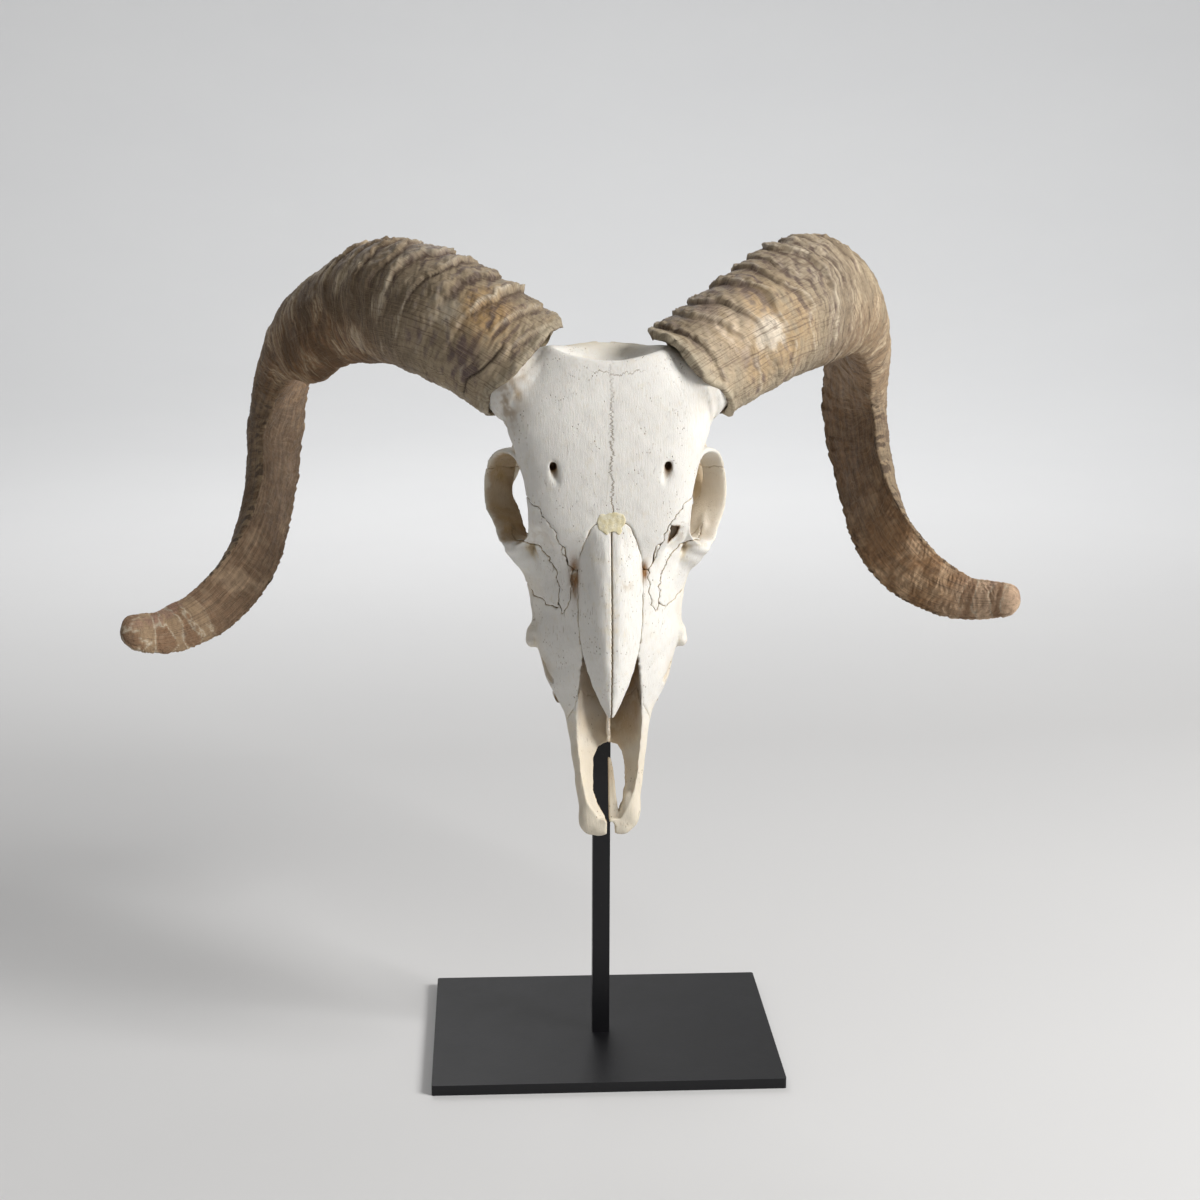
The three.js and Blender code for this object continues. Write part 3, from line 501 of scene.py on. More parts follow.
def whole_skull(bench):
    """The distance to the whole skull at every point of a bench: forehead, braincase and muzzle are
    sections across the face, the other parts are blobs and straps melted on, and hollows are carved."""
    x, s, d = np.abs(bench.x), bench.s, bench.d
    field = face_loft(
        x, s, d, (-11, 112),
        keyed([[-12, 33], [-6, 39], [4, 46], [18, 53], [34, 54.5], [44, 51], [57, 47], [76, 43.3], [90, 42],
               [112, 34]]),
        keyed([[-12, 9], [-8, 4], [0, 0.2], [20, -3.5], [45, -6.3], [65, -5.6], [82, -3.4], [92, -1.4],
               [100, 3], [112, 12]]),
        keyed([[-12, 44], [34, 38], [57, 30], [76, 28], [90, 36], [112, 50]]),
        keyed([[-12, 22], [0, 19], [34, 17], [57, 13], [76, 13], [90, 18], [112, 30]]), (2.5, 2.0), 5)
    case = face_loft(
        x, s, d, (-12.5, 104),
        keyed([[-15, 22], [-12, 27], [-4, 35], [8, 40], [22, 42], [38, 39], [52, 33], [66, 26], [80, 21],
               [112, 17]]),
        keyed([[-15, 40], [-8, 28], [0, 14], [12, 8], [112, 8]]),
        keyed([[-15, 60], [-8, 84], [0, 95], [10, 101], [20, 102], [38, 94], [56, 84], [70, 79], [84, 74],
               [112, 66]]),
        keyed([[-15, 50], [8, 58], [40, 58], [80, 50], [112, 46]]), (2.2, 2.3), 8)
    jaw = face_loft(x, s, d, (86, 255.5), muzzle_half, muzzle_front, palate, muzzle_widest, (1.75, 2.9), 2)
    field = melt(melt(field, case, 6), jaw, 5)

    def add(shape, k):
        bench.work(field, shape, melt, k)

    def cut(shape, k):
        bench.work(field, shape, carve, k)

    # the dip between the horns
    cut(blob((0, -15.5, 14), (31, 16.5, 18.5)), 4)
    for side in (RIGHT, LEFT):
        mirror = np.array([side, 1, 1])

        def bar(points, halves, way):
            return strap(np.array(points) * mirror, halves, np.array(way) * mirror)

        add(horn_core(side), 7)
        cut(orbit_hollow(side), 2)
        add(orbit_ring(side), 2.2)
        # the forehead's edge over the orbit, and how the cheek arch behind it bows on this side
        pull, bow = (-2.2, 1.4) if side == LEFT else (-4.0, 0)
        cut((*sided((40, 46, -14), (62, 99, 27), side), lambda x, s, d: np.maximum(
            brow_edge(s) - x * side, d - 15 - 8 * ease(s, 84, 91))), 1.5)
        # the cheek arch, the ledge under the orbit and the fill behind it
        add(bar([(54, 92, 42), (53.5 - pull * 0.8, 84, 56), (51.8 - pull, 66, 68), (47 + 5 * bow, 46, 77),
                 (38, 31, 80)],
                [[6.5, 3], [7, 3.2 + bow / 2], [6.5, 3.4 + bow], [6.5, 3.4 + bow], [9, 5]], (0, 1, 0.3)), 4)
        add(bar([(36.2, 128, 42), (38.4, 119, 39), (41.0, 111, 36.5), (46.0, 105, 36), (51.3, 99.5, 36)],
                [[13, 4.6], [13, 4.6], [13, 4.3], [11, 4.0], [8, 3.6]], (0.2, 0.2, 1)), 4)
        add(blob((43.5 * side, 103.5, 34), (8, 5.6, 11)), 4)
        add(blob((49 * side, 99, 30), (7.2, 4.2, 9)), 4)
        # the neck's knob, the ear's bony drum, the spur beside them and the ear canal
        add(blob((13 * side, 9, 102), (8.2, 9.5, 8.2)), 4)
        add(blob((10 * side, 14, 96), (7.5, 12, 10)), 6)
        add(blob((19 * side, 40, 93), (8.2, 12, 9)), 2.5)
        add(bar([(29, 18, 90), (31, 29, 103), (28, 41, 115)], [[7, 4], [5, 3], [2, 1.6]], (0.2, 1, 0.3)), 4)
        add(bar([(32, 31, 80), (38, 29, 83), (45, 27, 86)], [[5, 5], [4.5, 4.5], [4, 4]], (0, 1, 0)), 2.5)
        # the thin wing behind the palate, and half of the crest over the nape
        add(bar([(15, 64, 72), (14, 86, 83), (13, 101, 84)], [[10, 2.2], [11, 2], [9, 1.8]],
                (0, 0.1, 1)), 3)
        add(bar([(4, -11, 62), (20, -8, 66), (33, 1, 70), (38, 13, 74)], [[4, 2], [4, 2], [4, 2], [3, 2]],
                (0, 1, 0.6)), 5)
        # the knob on the cheek and the ridge that runs up from it
        add(blob((41.4 * side, 150.5, 43), (3.2, 3.6, 6.5)), 3)
        add(blob((40.6 * side, 145.5, 42), (3.2, 3.0, 5)), 3)
        add(bar([(38.6, 126, 39), (39.2, 138, 41), (40, 149, 43)], [[3, 1.8], [3, 1.8], [3, 2]],
                (0, 0, 1)), 5)
        # the shallow hollow for the tear gland, below the orbit
        cut(bar([(38.5, 91, 6.5), (36, 100, 11), (31.5, 113, 12)], [[4.5, 3.4], [7, 4.8], [4.5, 2.8]],
                (1, 0, 0.6)), 4)
        # the temple, which sinks in behind the orbit
        if side == LEFT:
            cut(bar([(50, 32, 52), (47, 48, 56), (44, 66, 58)], [[8, 4], [12, 8], [12, 9]], (1, 0, 0.3)), 5)
        else:
            cut(bar([(44, 32, 52), (36.5, 48, 56), (41, 60, 57), (42.5, 68, 58)],
                    [[7, 4], [9, 7], [9, 8], [9, 9]], (1, 0, 0.3)), 4)
        # the hole over the eye and the groove that runs down from it
        cut(bar([(30.8, 53, 4), (30.6, 53.6, -1), (29.9, 55, -6)], [[2.2, 1.9], [2.4, 2], [3.2, 2.3]],
                (0, 1, 0)), 0.5)
        cut(bar([(29.9, 56.5, -3.2), (29.2, 61, -4.2), (29.2, 67, -5.4), (30.5, 78, -4.2)],
                [[2.3, 2.6], [2.2, 2.3], [1.7, 1.2], [1.2, 0.5]], (1, 0, 0)), 1.4)
        # the nerve's hole in the cheek
        cut(bar([(31, 171, 29), (34.5, 165.5, 34), (34, 158, 38)], [[2.5, 1.6], [2.6, 2.2], [1.6, 1.2]],
                (0, 0, 1)), 1)
    # open crevices beside the nasal bones
    cut(strap([(-17.4, 102, 3), (-19.2, 110, 4.5), (-19.6, 117, 5.5), (-18.4, 124, 6)],
              [[2.2, 0.7], [4, 1.7], [3.8, 1.4], [2, 0.6]], (0, 0, 1)), 0.5)
    cut(strap([(17.4, 104, 3), (18.5, 110, 4.5), (18.3, 115, 5.5)], [[2, 0.5], [2.6, 0.9], [1.8, 0.5]],
              (0, 0, 1)), 0.5)
    # the great hole for the spinal cord
    cut(strap([(0, -22, 84), (0, 6, 90), (0, 24, 84)], [[9.5, 9], [9.5, 8.5], [6, 6]], (1, 0, 0)), 3)

    # the open nose from in front, and the hollow of the palate from behind
    def passage(x, s, d):
        """Straight walls, crinkled near their front edge, over a round floor."""
        crinkled = x + 0.5 * waves(9, (x, s, d), 3.6, 2) * ease(-d, -18, -11)
        body = section(crinkled, d, passage_half(s), passage_widest(s) - 60, passage_floor(s),
                       passage_widest(s), (10, 1.7))
        return np.maximum(body, np.maximum(138 - s, s - 247))

    def roof_of_mouth(x, s, d):
        """A vaulted hollow between the tooth rows."""
        body = section(x, d, roof_half(s), palate(s) - vault(s), palate(s) + 34, palate(s) + 4, (2.2, 6))
        return np.maximum(body, np.maximum(96 - s, s - 232))

    cut(((-19, 137, -40), (19, 248, 52), passage), 0.8)
    cut(((-21, 95, 20), (21, 233, 102), roof_of_mouth), 1.5)
    # the knobby ends of the muzzle
    add(blob((-10.2, 248, 26.5), (6.4, 8.5, 4.6)), 3)
    add(blob((-5.4, 252.4, 26.2), (5.2, 4.4, 3.8)), 2)
    add(blob((11.4, 243, 26.3), (5.6, 10.5, 4.6)), 3)
    add(blob((7.4, 251.8, 26.2), (5.0, 4.8, 3.8)), 2)
    shake = (0.16 * waves(5, (bench.x, bench.s, bench.d), 14, 2)
             + 0.06 * waves(6, (bench.x, bench.s * 0.5, bench.d), 4, 2)).astype(np.float32)
    return field + shake


# ------------------------------------------------------------------ sutures: where the bones part
# outlines of the bones in x and s, and of the muzzle bone in d and s
LACRIMAL = [[20.5, 109], [24, 104], [26, 97], [30, 88], [37.5, 77], [46, 68], [52, 67], [52, 93], [38, 96],
            [33, 102], [28.5, 110], [26.8, 119], [27, 128], [24.8, 133], [22.3, 128], [20.8, 119]]
# the cheek bone below the orbit, and its share behind it
MALAR = [[38, 96], [52, 93], [70, 93], [70, 116], [46, 119], [40.5, 123], [34, 128], [29, 130], [27, 128],
         [26.8, 119], [28.5, 110], [33, 102]]
CHEEK = [[44, 55], [80, 55], [80, 118], [44, 118]]
PREMAXILLA = [[-40, 152], [6, 152], [12, 168], [20, 184], [37, 199], [75, 209], [75, 280], [-40, 280]]
# the long gap beside the middle of the muzzle
FISSURE = {
    RIGHT: [[-1, 206], [5.5, 208.5], [8.4, 215], [8.8, 232], [6.6, 240], [2.8, 245.5], [1.5, 250],
            [1.4, 270], [-1, 270]],
    LEFT: [[-1, 206.5], [5.2, 207.5], [7.6, 211.5], [9.2, 218], [9.2, 230], [7.4, 239], [5.2, 244],
           [4.4, 240], [3.7, 230], [2.9, 222], [1.4, 215.5], [-1, 214]],
}
# the notch between the muzzle's knobs, on the left
TIP_NOTCH = [[-1, 249.5], [1.6, 248.5], [3.2, 251], [3.0, 270], [-1, 270]]
# a corner broken out of the left orbit's edge
BREAK = [[32.2, 85.2], [34.2, 85.9], [36.8, 86.0], [36.0, 89.8], [33.8, 92.4], [31.0, 94.6], [31.7, 89.5]]


def nasal_depth(x, s):
    """How deep the nasal bones' outer surface lies: nearly flat in the middle, falling to the edge."""
    share = np.clip(np.abs(x) / nasal_half(s), 0, 1.3)
    return nasal_top(s) + (nasal_edge(s) - nasal_top(s)) * share ** 2.2


def regions(bench):
    """Distances to each bone's own share of the space, with edges that wander a little as sutures do."""
    x, s, d = np.abs(bench.x), bench.s, bench.d
    wander_x, wander_s = (0.9 * waves(seed, (bench.x, s), 7, 4) for seed in (21, 22))

    def within(outline):
        return outline_distance(outline, x + wander_x, s + wander_s)

    lacrimal = np.maximum(within(LACRIMAL), d - 40)
    lower_edge = (d + 0.8 * np.clip(s - 90, 0, 40) + wander_s - 62) * 0.8
    cheek = np.minimum(np.maximum(within(MALAR), lower_edge), np.maximum(within(CHEEK), 26 - d))
    bed = np.maximum(np.maximum(x - nasal_half(s) - SEAM, 83 - SEAM - s),
                     d - nasal_depth(bench.x, s) - NASAL_THICK - SEAM)
    jag_d = 0.8 * waves(23, (d, s, np.sign(bench.x) * 40 + 0 * x), 3.2, 2)
    hidden = 18 * ease(-x, -18.5, -15.5) * ease(d, 16, 26)
    tip = outline_distance(PREMAXILLA, d + jag_d, s + jag_d + hidden)
    side = LEFT if bench.axes[0].mean() > 0 else RIGHT
    ragged = 0.35 * waves(25, (bench.x, s), 4, 2)
    gap = outline_distance(FISSURE[side], x + ragged, s + ragged)
    if side == LEFT:
        gap = np.minimum(gap, outline_distance(TIP_NOTCH, x + ragged, s))
    return dict(lacrimal=lacrimal, cheek=np.maximum(cheek, SEAM - lacrimal), bed=bed, tip=tip,
                fissure=np.maximum(gap, 10 - d))


ROD_MIDDLE, ROD_ROOM, ROD_END = (-1.5, -4.0), 5.3, 318.3      # mm in the row frame


def rod_room(bench):
    """The rod's own room in the skull base, a square hole from below."""
    x, s, d = bench.x, bench.s, bench.d
    y = POLL[1] + d * math.cos(LEAN) - s * math.sin(LEAN)
    z = POLL[2] - d * math.sin(LEAN) - s * math.cos(LEAN)
    return np.maximum(np.maximum(np.abs(x + POLL[0] - ROD_MIDDLE[0]), np.abs(y - ROD_MIDDLE[1])) - ROD_ROOM,
                      z - ROD_END)


def bone(name, side):
    """One bone: the whole skull, kept where that bone has its share and cut away elsewhere."""
    low, high, step = {
        "cranium": ((-66, -26, -14), (66, 112, 120), 1.15),
        "lacrimal": ((15, 60, -8), (57, 138, 44), 0.6),
        "zygomatic": ((20, 50, 2), (74, 132, 90), 0.8),
        "maxilla": ((-1, 92, -4), (50, 210, 90), 0.85),
        "premaxilla": ((-1, 148, 0), (28, 261, 60), 0.6),
    }[name]
    bench = Bench(*sided(low, high, side), step)
    x, s, d = bench.x, bench.s, bench.d
    whole = whole_skull(bench)
    part = regions(bench)
    if name in ("cranium", "lacrimal"):
        torn = np.maximum(outline_distance(BREAK, x + 0.4 * waves(8, (x, s), 3), s), d - 13)
        whole = carve(whole, torn, 0.4)
    if name in ("cranium", "maxilla"):
        whole = carve(whole, rod_room(bench), 0.3)
    field = carve(whole, part["bed"], 0.35)
    k = 0.25
    if name == "lacrimal":
        field = keep(field, part["lacrimal"] + SEAM / 2, k)
    elif name == "zygomatic":
        # on the orbit's rim the cheek bone laps a little over the forehead's corner
        lap = 0.45 * ease(-s, -66, -60)
        field = keep(field, part["cheek"] + SEAM / 2 - lap, k)
    else:
        field = carve(field, part["lacrimal"] - SEAM / 2, k)
        field = carve(field, part["cheek"] - SEAM / 2, k)
        finger = ease(-np.abs(x), -25, -21.5) * ease(-d, -16, -12)
        above_jaw = 96 + 13.5 * finger + 1.1 * waves(24, (x, d), 6, 3) - s
        if name == "cranium":
            field = keep(field, SEAM / 2 - above_jaw, k)
        else:
            field = keep(field, above_jaw + SEAM / 2, k)
            field = keep(field, SEAM / 2 - x * side, k)
            field = carve(field, part["fissure"], 0.8)
            # inside the nose the muzzle bone laps a little over the jaw bone
            lap = 0.45 * ease(-np.abs(x), -19.5, -18) * ease(d, 10, 13)
            if name == "premaxilla":
                field = keep(field, part["tip"] + SEAM / 2 - lap, k)
            else:
                field = carve(field, part["tip"] - SEAM / 2, k)
    return bench, whole, field


def nasal_bone(side):
    """One nasal bone: a shell under the arched outer surface, ending in a point over the nostril."""
    bench = Bench(*sided((-0.5, 81, -11), (19.5, 192, 13), side), 0.5)
    x, s, d = bench.x, bench.s, bench.d
    top = nasal_depth(x, s) + 0.12 * waves(31, (x, s * 0.4), 6) + 0.35 * bell(np.abs(x), 1, 1.6)
    wander = 0.35 * ease(s, 118, 124) * waves(32, (s + 0 * x,), 4.2, 2)
    field = keep((top - d) * 0.8, (d - top - NASAL_THICK) * 0.8, 1.0)
    edge = np.abs(x) - nasal_half(s) + 0.25 * waves(33, (s, x * 0), 5)
    field = keep(field, edge, 0.7)
    field = keep(field, 0.25 - (x + wander) * side, 0.8)
    field = keep(field, np.maximum(83.3 - s, s - 189), 0.8)
    return bench, field, field


def nose_filler():
    """A thin pad of filler over the root of the nose: the surfaces there, raised a little inside a
    ragged outline."""
    bench = Bench((-10, 75, -8), (11, 94, 2), 0.4)
    x, s, d = bench.x, bench.s, bench.d
    whole = whole_skull(bench)
    ragged = 0.9 * waves(35, (x, s), 7, 4)
    shield = [[-6.6, 79.5], [-3, 78.2], [2, 78], [6.5, 79], [8, 82], [7, 86.5], [3.6, 89], [0.5, 88.4],
              [-2.6, 90], [-6.4, 87.5], [-7.8, 83]]
    rim = outline_distance(shield, x + ragged, s + ragged)
    raised = np.minimum(whole, (nasal_depth(x, s) - d) * 0.9) - 0.28 + 0.08 * waves(36, (x, s, d), 3)
    return bench, whole, keep(keep(raised, rim, 0.7), d - 0.5, 0.3)


def vomer_bone():
    """The thin wall down the middle of the nose, with a frayed upper edge."""
    bench = Bench((-3, 136, 8), (3, 210, 54), 0.5)
    x, s, d = bench.x, bench.s, bench.d
    top = 16 + (s - 139) / 67 * 13 + 0.8 * waves(41, (s,), 9)
    field = keep(np.abs(x + 0.3 * waves(42, (s, d), 20)) - 1.0, top - d, 0.8)
    field = keep(field, d - passage_floor(s) + 1.2, 0.5)
    return bench, field, keep(field, np.maximum(139 - s, s - 205.5), 0.8)


# ------------------------------------------------------------------ colours laid on the points
def mixed(colour, other, share):
    """colour with a share of another mixed in."""
    return colour + (np.array(other) - colour) * np.clip(share, 0, 1)[:, None]


def coated(colour, *coats):
    """colour with coats laid over it one by one, each a pair of a paint and its share."""
    for paint, share in coats:
        colour = mixed(colour, paint, share)
    return colour


def plain(paint, count):
    """The same paint for every point."""
    return np.repeat(np.array([paint]), count, 0)


def spot(laid, centre, radii):
    """1 in the middle of an oval spot and 0 far from it, fading as a bell curve."""
    return np.exp(-(((laid - np.array(centre)) / np.array(radii)) ** 2).sum(1))


BONE_WHITE = (0.81, 0.79, 0.745)
BONE_CREAM = (0.72, 0.62, 0.45)
BONE_TAN = (0.46, 0.33, 0.18)
BONE_BROWN = (0.20, 0.115, 0.05)
BACK_CREAM = (0.66, 0.58, 0.42)
NOSE_TAN = (0.43, 0.28, 0.125)
NOSE_BROWN = (0.33, 0.19, 0.075)
NASAL_CREVICE_SHADE = (0.26, 0.125, 0.04)
# the frame round a hole over the eye, in x and s
FORAMEN = [[26, 50], [34.5, 50], [34.5, 60], [26, 60]]


def bone_colour(laid, normal, crevice):
    """Dry bone: nearly white where it faces out, cream and tan in its hollows as dirt and painted shade, tan
    stains and painted shade inside the orbits, tan and brown stains under the horns and a tan one on the
    nasal bones, painted shade in the nasal crevices, inside the nose and in the holes, a creamy muzzle, and
    cream painted as shade where it faces back."""
    x, s, d = laid.T
    mottle, fine = waves(51, laid.T, 30, 3), waves(52, laid.T, 7, 3)
    colour = coated(
        plain(BONE_WHITE, len(laid)),
        (BONE_CREAM, 0.45 * ease(d + 6 * mottle, 22, 50)),
        # painted shade and dirt: cream, then tan, where other bone lies close in front of the surface
        (BONE_CREAM, 0.75 * ease(crevice + 0.10 * fine, 0.30, 0.75)),
        (BONE_TAN, 0.60 * ease(crevice + 0.12 * fine, 0.62, 1.0)),
        (BONE_CREAM, 0.64 * ease(s + 5 * mottle, 176, 215)))
    for side, strength in ((RIGHT, 0.95), (LEFT, 0.28)):
        here = laid * np.array([side, 1, 1])
        u, w = here[:, 0] - MIDDLE_OF_ORBIT[0], d - MIDDLE_OF_ORBIT[2]
        inset = u * INWARD[0] + w * INWARD[2]
        across = u * ACROSS[0] + w * ACROSS[2]
        down = s - MIDDLE_OF_ORBIT[1]
        oval = np.sqrt((across / ORBIT_WIDE) ** 2 + (down / ORBIT_HIGH) ** 2) + 1e-6
        facing = normal * np.array([side, 1, 1])
        outwards = (facing @ ACROSS * across / ORBIT_WIDE + facing[:, 1] * down / ORBIT_HIGH) / oval
        inside = (ease(inset + 1.5 * fine, -3.5, 2.5) * ease(-oval, -1.22, -1.1)
                  * ease(-inset, -44, -34) * ease(-outwards, -0.05, 0.45))
        deep = ease(inset + 3 * fine - 8 * (s < 60), 6, 24)
        grime = spot(here, (51, 13, 13), (8, 17, 13)) * (0.7 + 0.6 * fine)
        colour = coated(
            colour,
            # tan stain and painted shade on the walls inside the orbit, far stronger on the shaded right;
            # brown deeper in is painted shade
            (BONE_TAN, strength * inside * (0.80 + 0.25 * mottle)),
            (BONE_BROWN, strength * inside * deep * 0.6),
            # grime in the angle between brow and horn
            (BONE_TAN, grime * (0.85 if side == RIGHT else 0.3)),
            (BONE_BROWN, (0.75 if side == RIGHT else 0) * spot(here, (53, 17, 15), (6, 14, 11))
             * ease(fine, -0.3, 0.5)),
            (BONE_TAN, 0.30 * spot(here, (38, 92, 9), (7, 8, 9)) * ease(fine, -0.4, 0.5)),
            (BONE_TAN, 0.6 * spot(here, (31, 165, 34), (5, 7, 6))))
    # painted shade inside the open nose: tan deeper behind the muzzle's front, brown higher up the passage,
    # both weaker on the right
    nose = (ease(d - (muzzle_front(s) + 4), 0, 14) * ease(s, 136, 150)
            * ease(-np.abs(x), -20, -15))
    colour = coated(
        colour,
        (NOSE_TAN, 0.6 * nose * (0.8 + 0.4 * mottle) * np.where(x < 0, 0.5, 1)),
        (NOSE_BROWN, 0.8 * nose * ease(-s, -212, -165) * np.where(x < 0, 0.35, 1)),
        # painted shade: dark brown in the open crevices beside the nasal bones
        (NASAL_CREVICE_SHADE, np.clip(1.5 * spot(laid, (-19.4, 113, 6), (2.4, 9.5, 5)), 0, 1)
         * ease(fine, -1.2, -0.2)),
        (NASAL_CREVICE_SHADE, np.clip(1.4 * spot(laid, (18.4, 110, 5.5), (1.8, 5, 4.5)), 0, 1)),
        (BONE_TAN, 0.45 * spot(laid, (9, 117, -6), (5, 2.5, 4)) * ease(fine, -0.5, 0.4)))
    # painted shade: brown inside the holes over the eyes
    for side in (RIGHT, LEFT):
        colour = mixed(colour, BONE_BROWN, ease(-outline_distance(FORAMEN, side * x, s), -0.3, 0.6)
                       * ease(d, -2.6, -0.2) * ease(-d, -9, -6))
    great_hole = -np.hypot(x, (d - 88) * 0.9)
    back = ease(d + 4 * mottle, 20, 40) * ease(-s + 2 * fine, -14, 2)
    colour = coated(
        colour,
        # painted shade: brown on the walls inside the broken corner of the left orbit
        (BONE_BROWN, ease(-outline_distance(BREAK, x, s), -1.2, 0) * ease(d, 1.6, 3.2)
         * ease(-d, -14, -11)),
        # painted shade: tan on the cheek arch seen deep behind the left orbit
        (BONE_TAN, 0.85 * spot(laid, (53, 66, 68), (9, 24, 13))),
        # painted shade: the great hole at the back of the skull is dark inside
        (BONE_BROWN, ease(great_hole, -10, -7) * ease(s, -9, -3) * ease(-s, -30, -20)),
        # painted shade: cream on surfaces that face back, away from the lamps
        (BONE_CREAM, 0.35 * ease(normal[:, 2] + 0.1 * mottle, 0.2, 0.9)),
        (BACK_CREAM, 0.6 * back))
    return colour * (1 + 0.035 * mottle + 0.02 * fine)[:, None]


# ------------------------------------------------------------------ meshes
def piece(name, points, faces, material, slot, nodes, **layers):
    """A smooth mesh from points in metres and faces, with its named layers of values per point."""
    mesh = bpy.data.meshes.new(name)
    mesh.vertices.add(len(points))
    mesh.vertices.foreach_set("co", points.astype(np.float32).ravel())
    mesh.loops.add(faces.size)
    mesh.loops.foreach_set("vertex_index", faces.astype(np.int32).ravel())
    mesh.polygons.add(len(faces))
    mesh.polygons.foreach_set("loop_start", np.arange(0, faces.size, faces.shape[1], dtype=np.int32))
    mesh.update(calc_edges=True)
    mesh.polygons.foreach_set("use_smooth", np.ones(len(mesh.polygons), bool))
    for layer, values in layers.items():
        if layer == "tint":
            full = np.c_[values, np.ones(len(values))]
            mesh.attributes.new(layer, "FLOAT_COLOR", "POINT").data.foreach_set("color", full.ravel())
        elif values.ndim == 2:
            mesh.attributes.new(layer, "FLOAT_VECTOR", "POINT").data.foreach_set("vector", values.ravel())
        else:
            mesh.attributes.new(layer, "FLOAT", "POINT").data.foreach_set("value", values)
    mesh.materials.append(material)
    made = bpy.data.objects.new(name, mesh)
    bpy.context.scene.collection.objects.link(made)
    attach(made, "root")
    if nodes:
        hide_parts(*nodes)


def bone_piece(name, shape, material, slot, nodes=None):
    """A bone's skin with its colours. Crevices, where shade and dirt are painted, are found by how near
    other bone lies in front of it.
    """
    bench, whole, field = shape
    laid, faces, normal = skin(bench, field)
    # an occlusion estimate: how far nearby bone shuts the surface in, which paints shade and dirt into the
    # hollows
    crevice = sum(share * np.clip(1 - sample(bench, whole, laid + normal * reach) / reach, 0, 1)
                  for reach, share in ((1.5, 0.3), (4, 0.35), (9, 0.35)))
    piece(name, placed(laid), faces, material, slot, [name] if nodes is None else nodes,
          laid=laid, tint=bone_colour(laid, normal, crevice), crevice=crevice)


def grid_faces(rows, columns, first=0):
    """Faces of a closed tube of rows of points, with columns points round each row."""
    r = np.arange(rows - 1)[:, None] * columns
    c = np.arange(columns)[None, :]
    n = (c + 1) % columns
    return np.stack([r + c, r + n, r + columns + n, r + columns + c], -1).reshape(-1, 4) + first


# ------------------------------------------------------------------ horns
HORN_TAN, HORN_GOLD, HORN_GREY = (0.375, 0.295, 0.195), (0.50, 0.315, 0.135), (0.335, 0.275, 0.205)
HORN_DARK, HORN_PALE = (0.085, 0.055, 0.045), (0.66, 0.58, 0.45)
BEND_BROWN, BEND_GREY, BEND_PALE = (0.26, 0.195, 0.13), (0.42, 0.355, 0.265), (0.47, 0.40, 0.29)
STRAW, SAND, WASH, CHALK = (0.56, 0.45, 0.31), (0.50, 0.42, 0.31), (0.58, 0.49, 0.36), (0.76, 0.68, 0.56)
UNDER_BROWN, FOLD_BROWN, SHADE_BROWN = (0.29, 0.165, 0.08), (0.30, 0.185, 0.10), (0.115, 0.075, 0.045)
MAUVE, FRECKLE, FLECK = (0.125, 0.085, 0.085), (0.11, 0.08, 0.07), (0.10, 0.065, 0.045)
ROSE, CRACK, SOCKET = (0.74, 0.60, 0.44), (0.07, 0.045, 0.03), (0.05, 0.035, 0.025)
CORNER_TAN, COLLAR, SPLIT = (0.45, 0.33, 0.20), (0.50, 0.43, 0.31), (0.05, 0.03, 0.02)
WINDOW, DEEP_WINDOW, TIP_PINK = (0.27, 0.15, 0.08), (0.20, 0.105, 0.055), (0.43, 0.25, 0.19)
TIP_COLOUR = {RIGHT: (0.40, 0.275, 0.165), LEFT: (0.72, 0.51, 0.35)}
# the hanging part's outer and inner faces, each with two paints, and how light the inner face is
HANGING = {
    RIGHT: (((0.20, 0.12, 0.062), (0.30, 0.20, 0.115)), ((0.23, 0.145, 0.088), (0.34, 0.24, 0.155))),
    LEFT: (((0.38, 0.285, 0.18), (0.24, 0.16, 0.10)), ((0.26, 0.145, 0.070), (0.46, 0.31, 0.19))),
}
HANGING_LIGHT = {
    RIGHT: keyed([[200, 0.6], [245, 0.5], [290, 0.75], [330, 1.2], [365, 1.35], [420, 1.2]]),
    LEFT: keyed([[200, 0.75], [250, 0.64], [290, 0.75], [325, 1.3], [365, 1.3], [420, 1.6]]),
}
# patches: weight, place along the horn and half length in mm, angle about it and half width in degrees
PATCHES = {
    RIGHT: dict(wash=[(0.6, 9, 9, -85, 45)], gold=[(0.8, 26, 17, -68, 34)],
                dark=[(1.1, 26, 11, -100, 26), (0.8, 17, 7, -118, 16), (0.6, 16, 9, -35, 22),
                      (0.5, 62, 24, -20, 26)],
                pale=[(0.9, 40, 10, -80, 26), (0.5, 64, 14, -70, 26)]),
    LEFT: dict(wash=[(0.7, 105, 24, -25, 50)], gold=[(1, 36, 30, -92, 50)],
               dark=[(1, 30, 24, -28, 24), (0.9, 17, 9, -98, 15), (0.6, 78, 16, -62, 28),
                     (0.4, 60, 14, -20, 16)],
               pale=[(1.6, 36, 9, -90, 18), (0.6, 100, 18, -40, 24)], rose=[(0.75, 20, 15, -70, 36)]),
}
RING_CRACKS = {RIGHT: (88, 117, 186), LEFT: (97, 178)}
SHEATH_WALL = 3.4
# how far apart the growth rings are and how high they stand, in mm, along the horn
RING_PACE = keyed([[-20, 15], [30, 14.5], [90, 12.5], [170, 9.5], [260, 7], [360, 5.2], [450, 4.6]])
RING_HEIGHT = keyed([[0, 3.9], [60, 4.4], [140, 3.4], [220, 2.0], [320, 1.3], [430, 0.8]])
RING_RISE = 0.17       # share of a ring that rises; the rest falls back slowly
KEEL_PLACE, KEEL_LENGTH = 166, 25      # the sharp fold under the right horn's bend


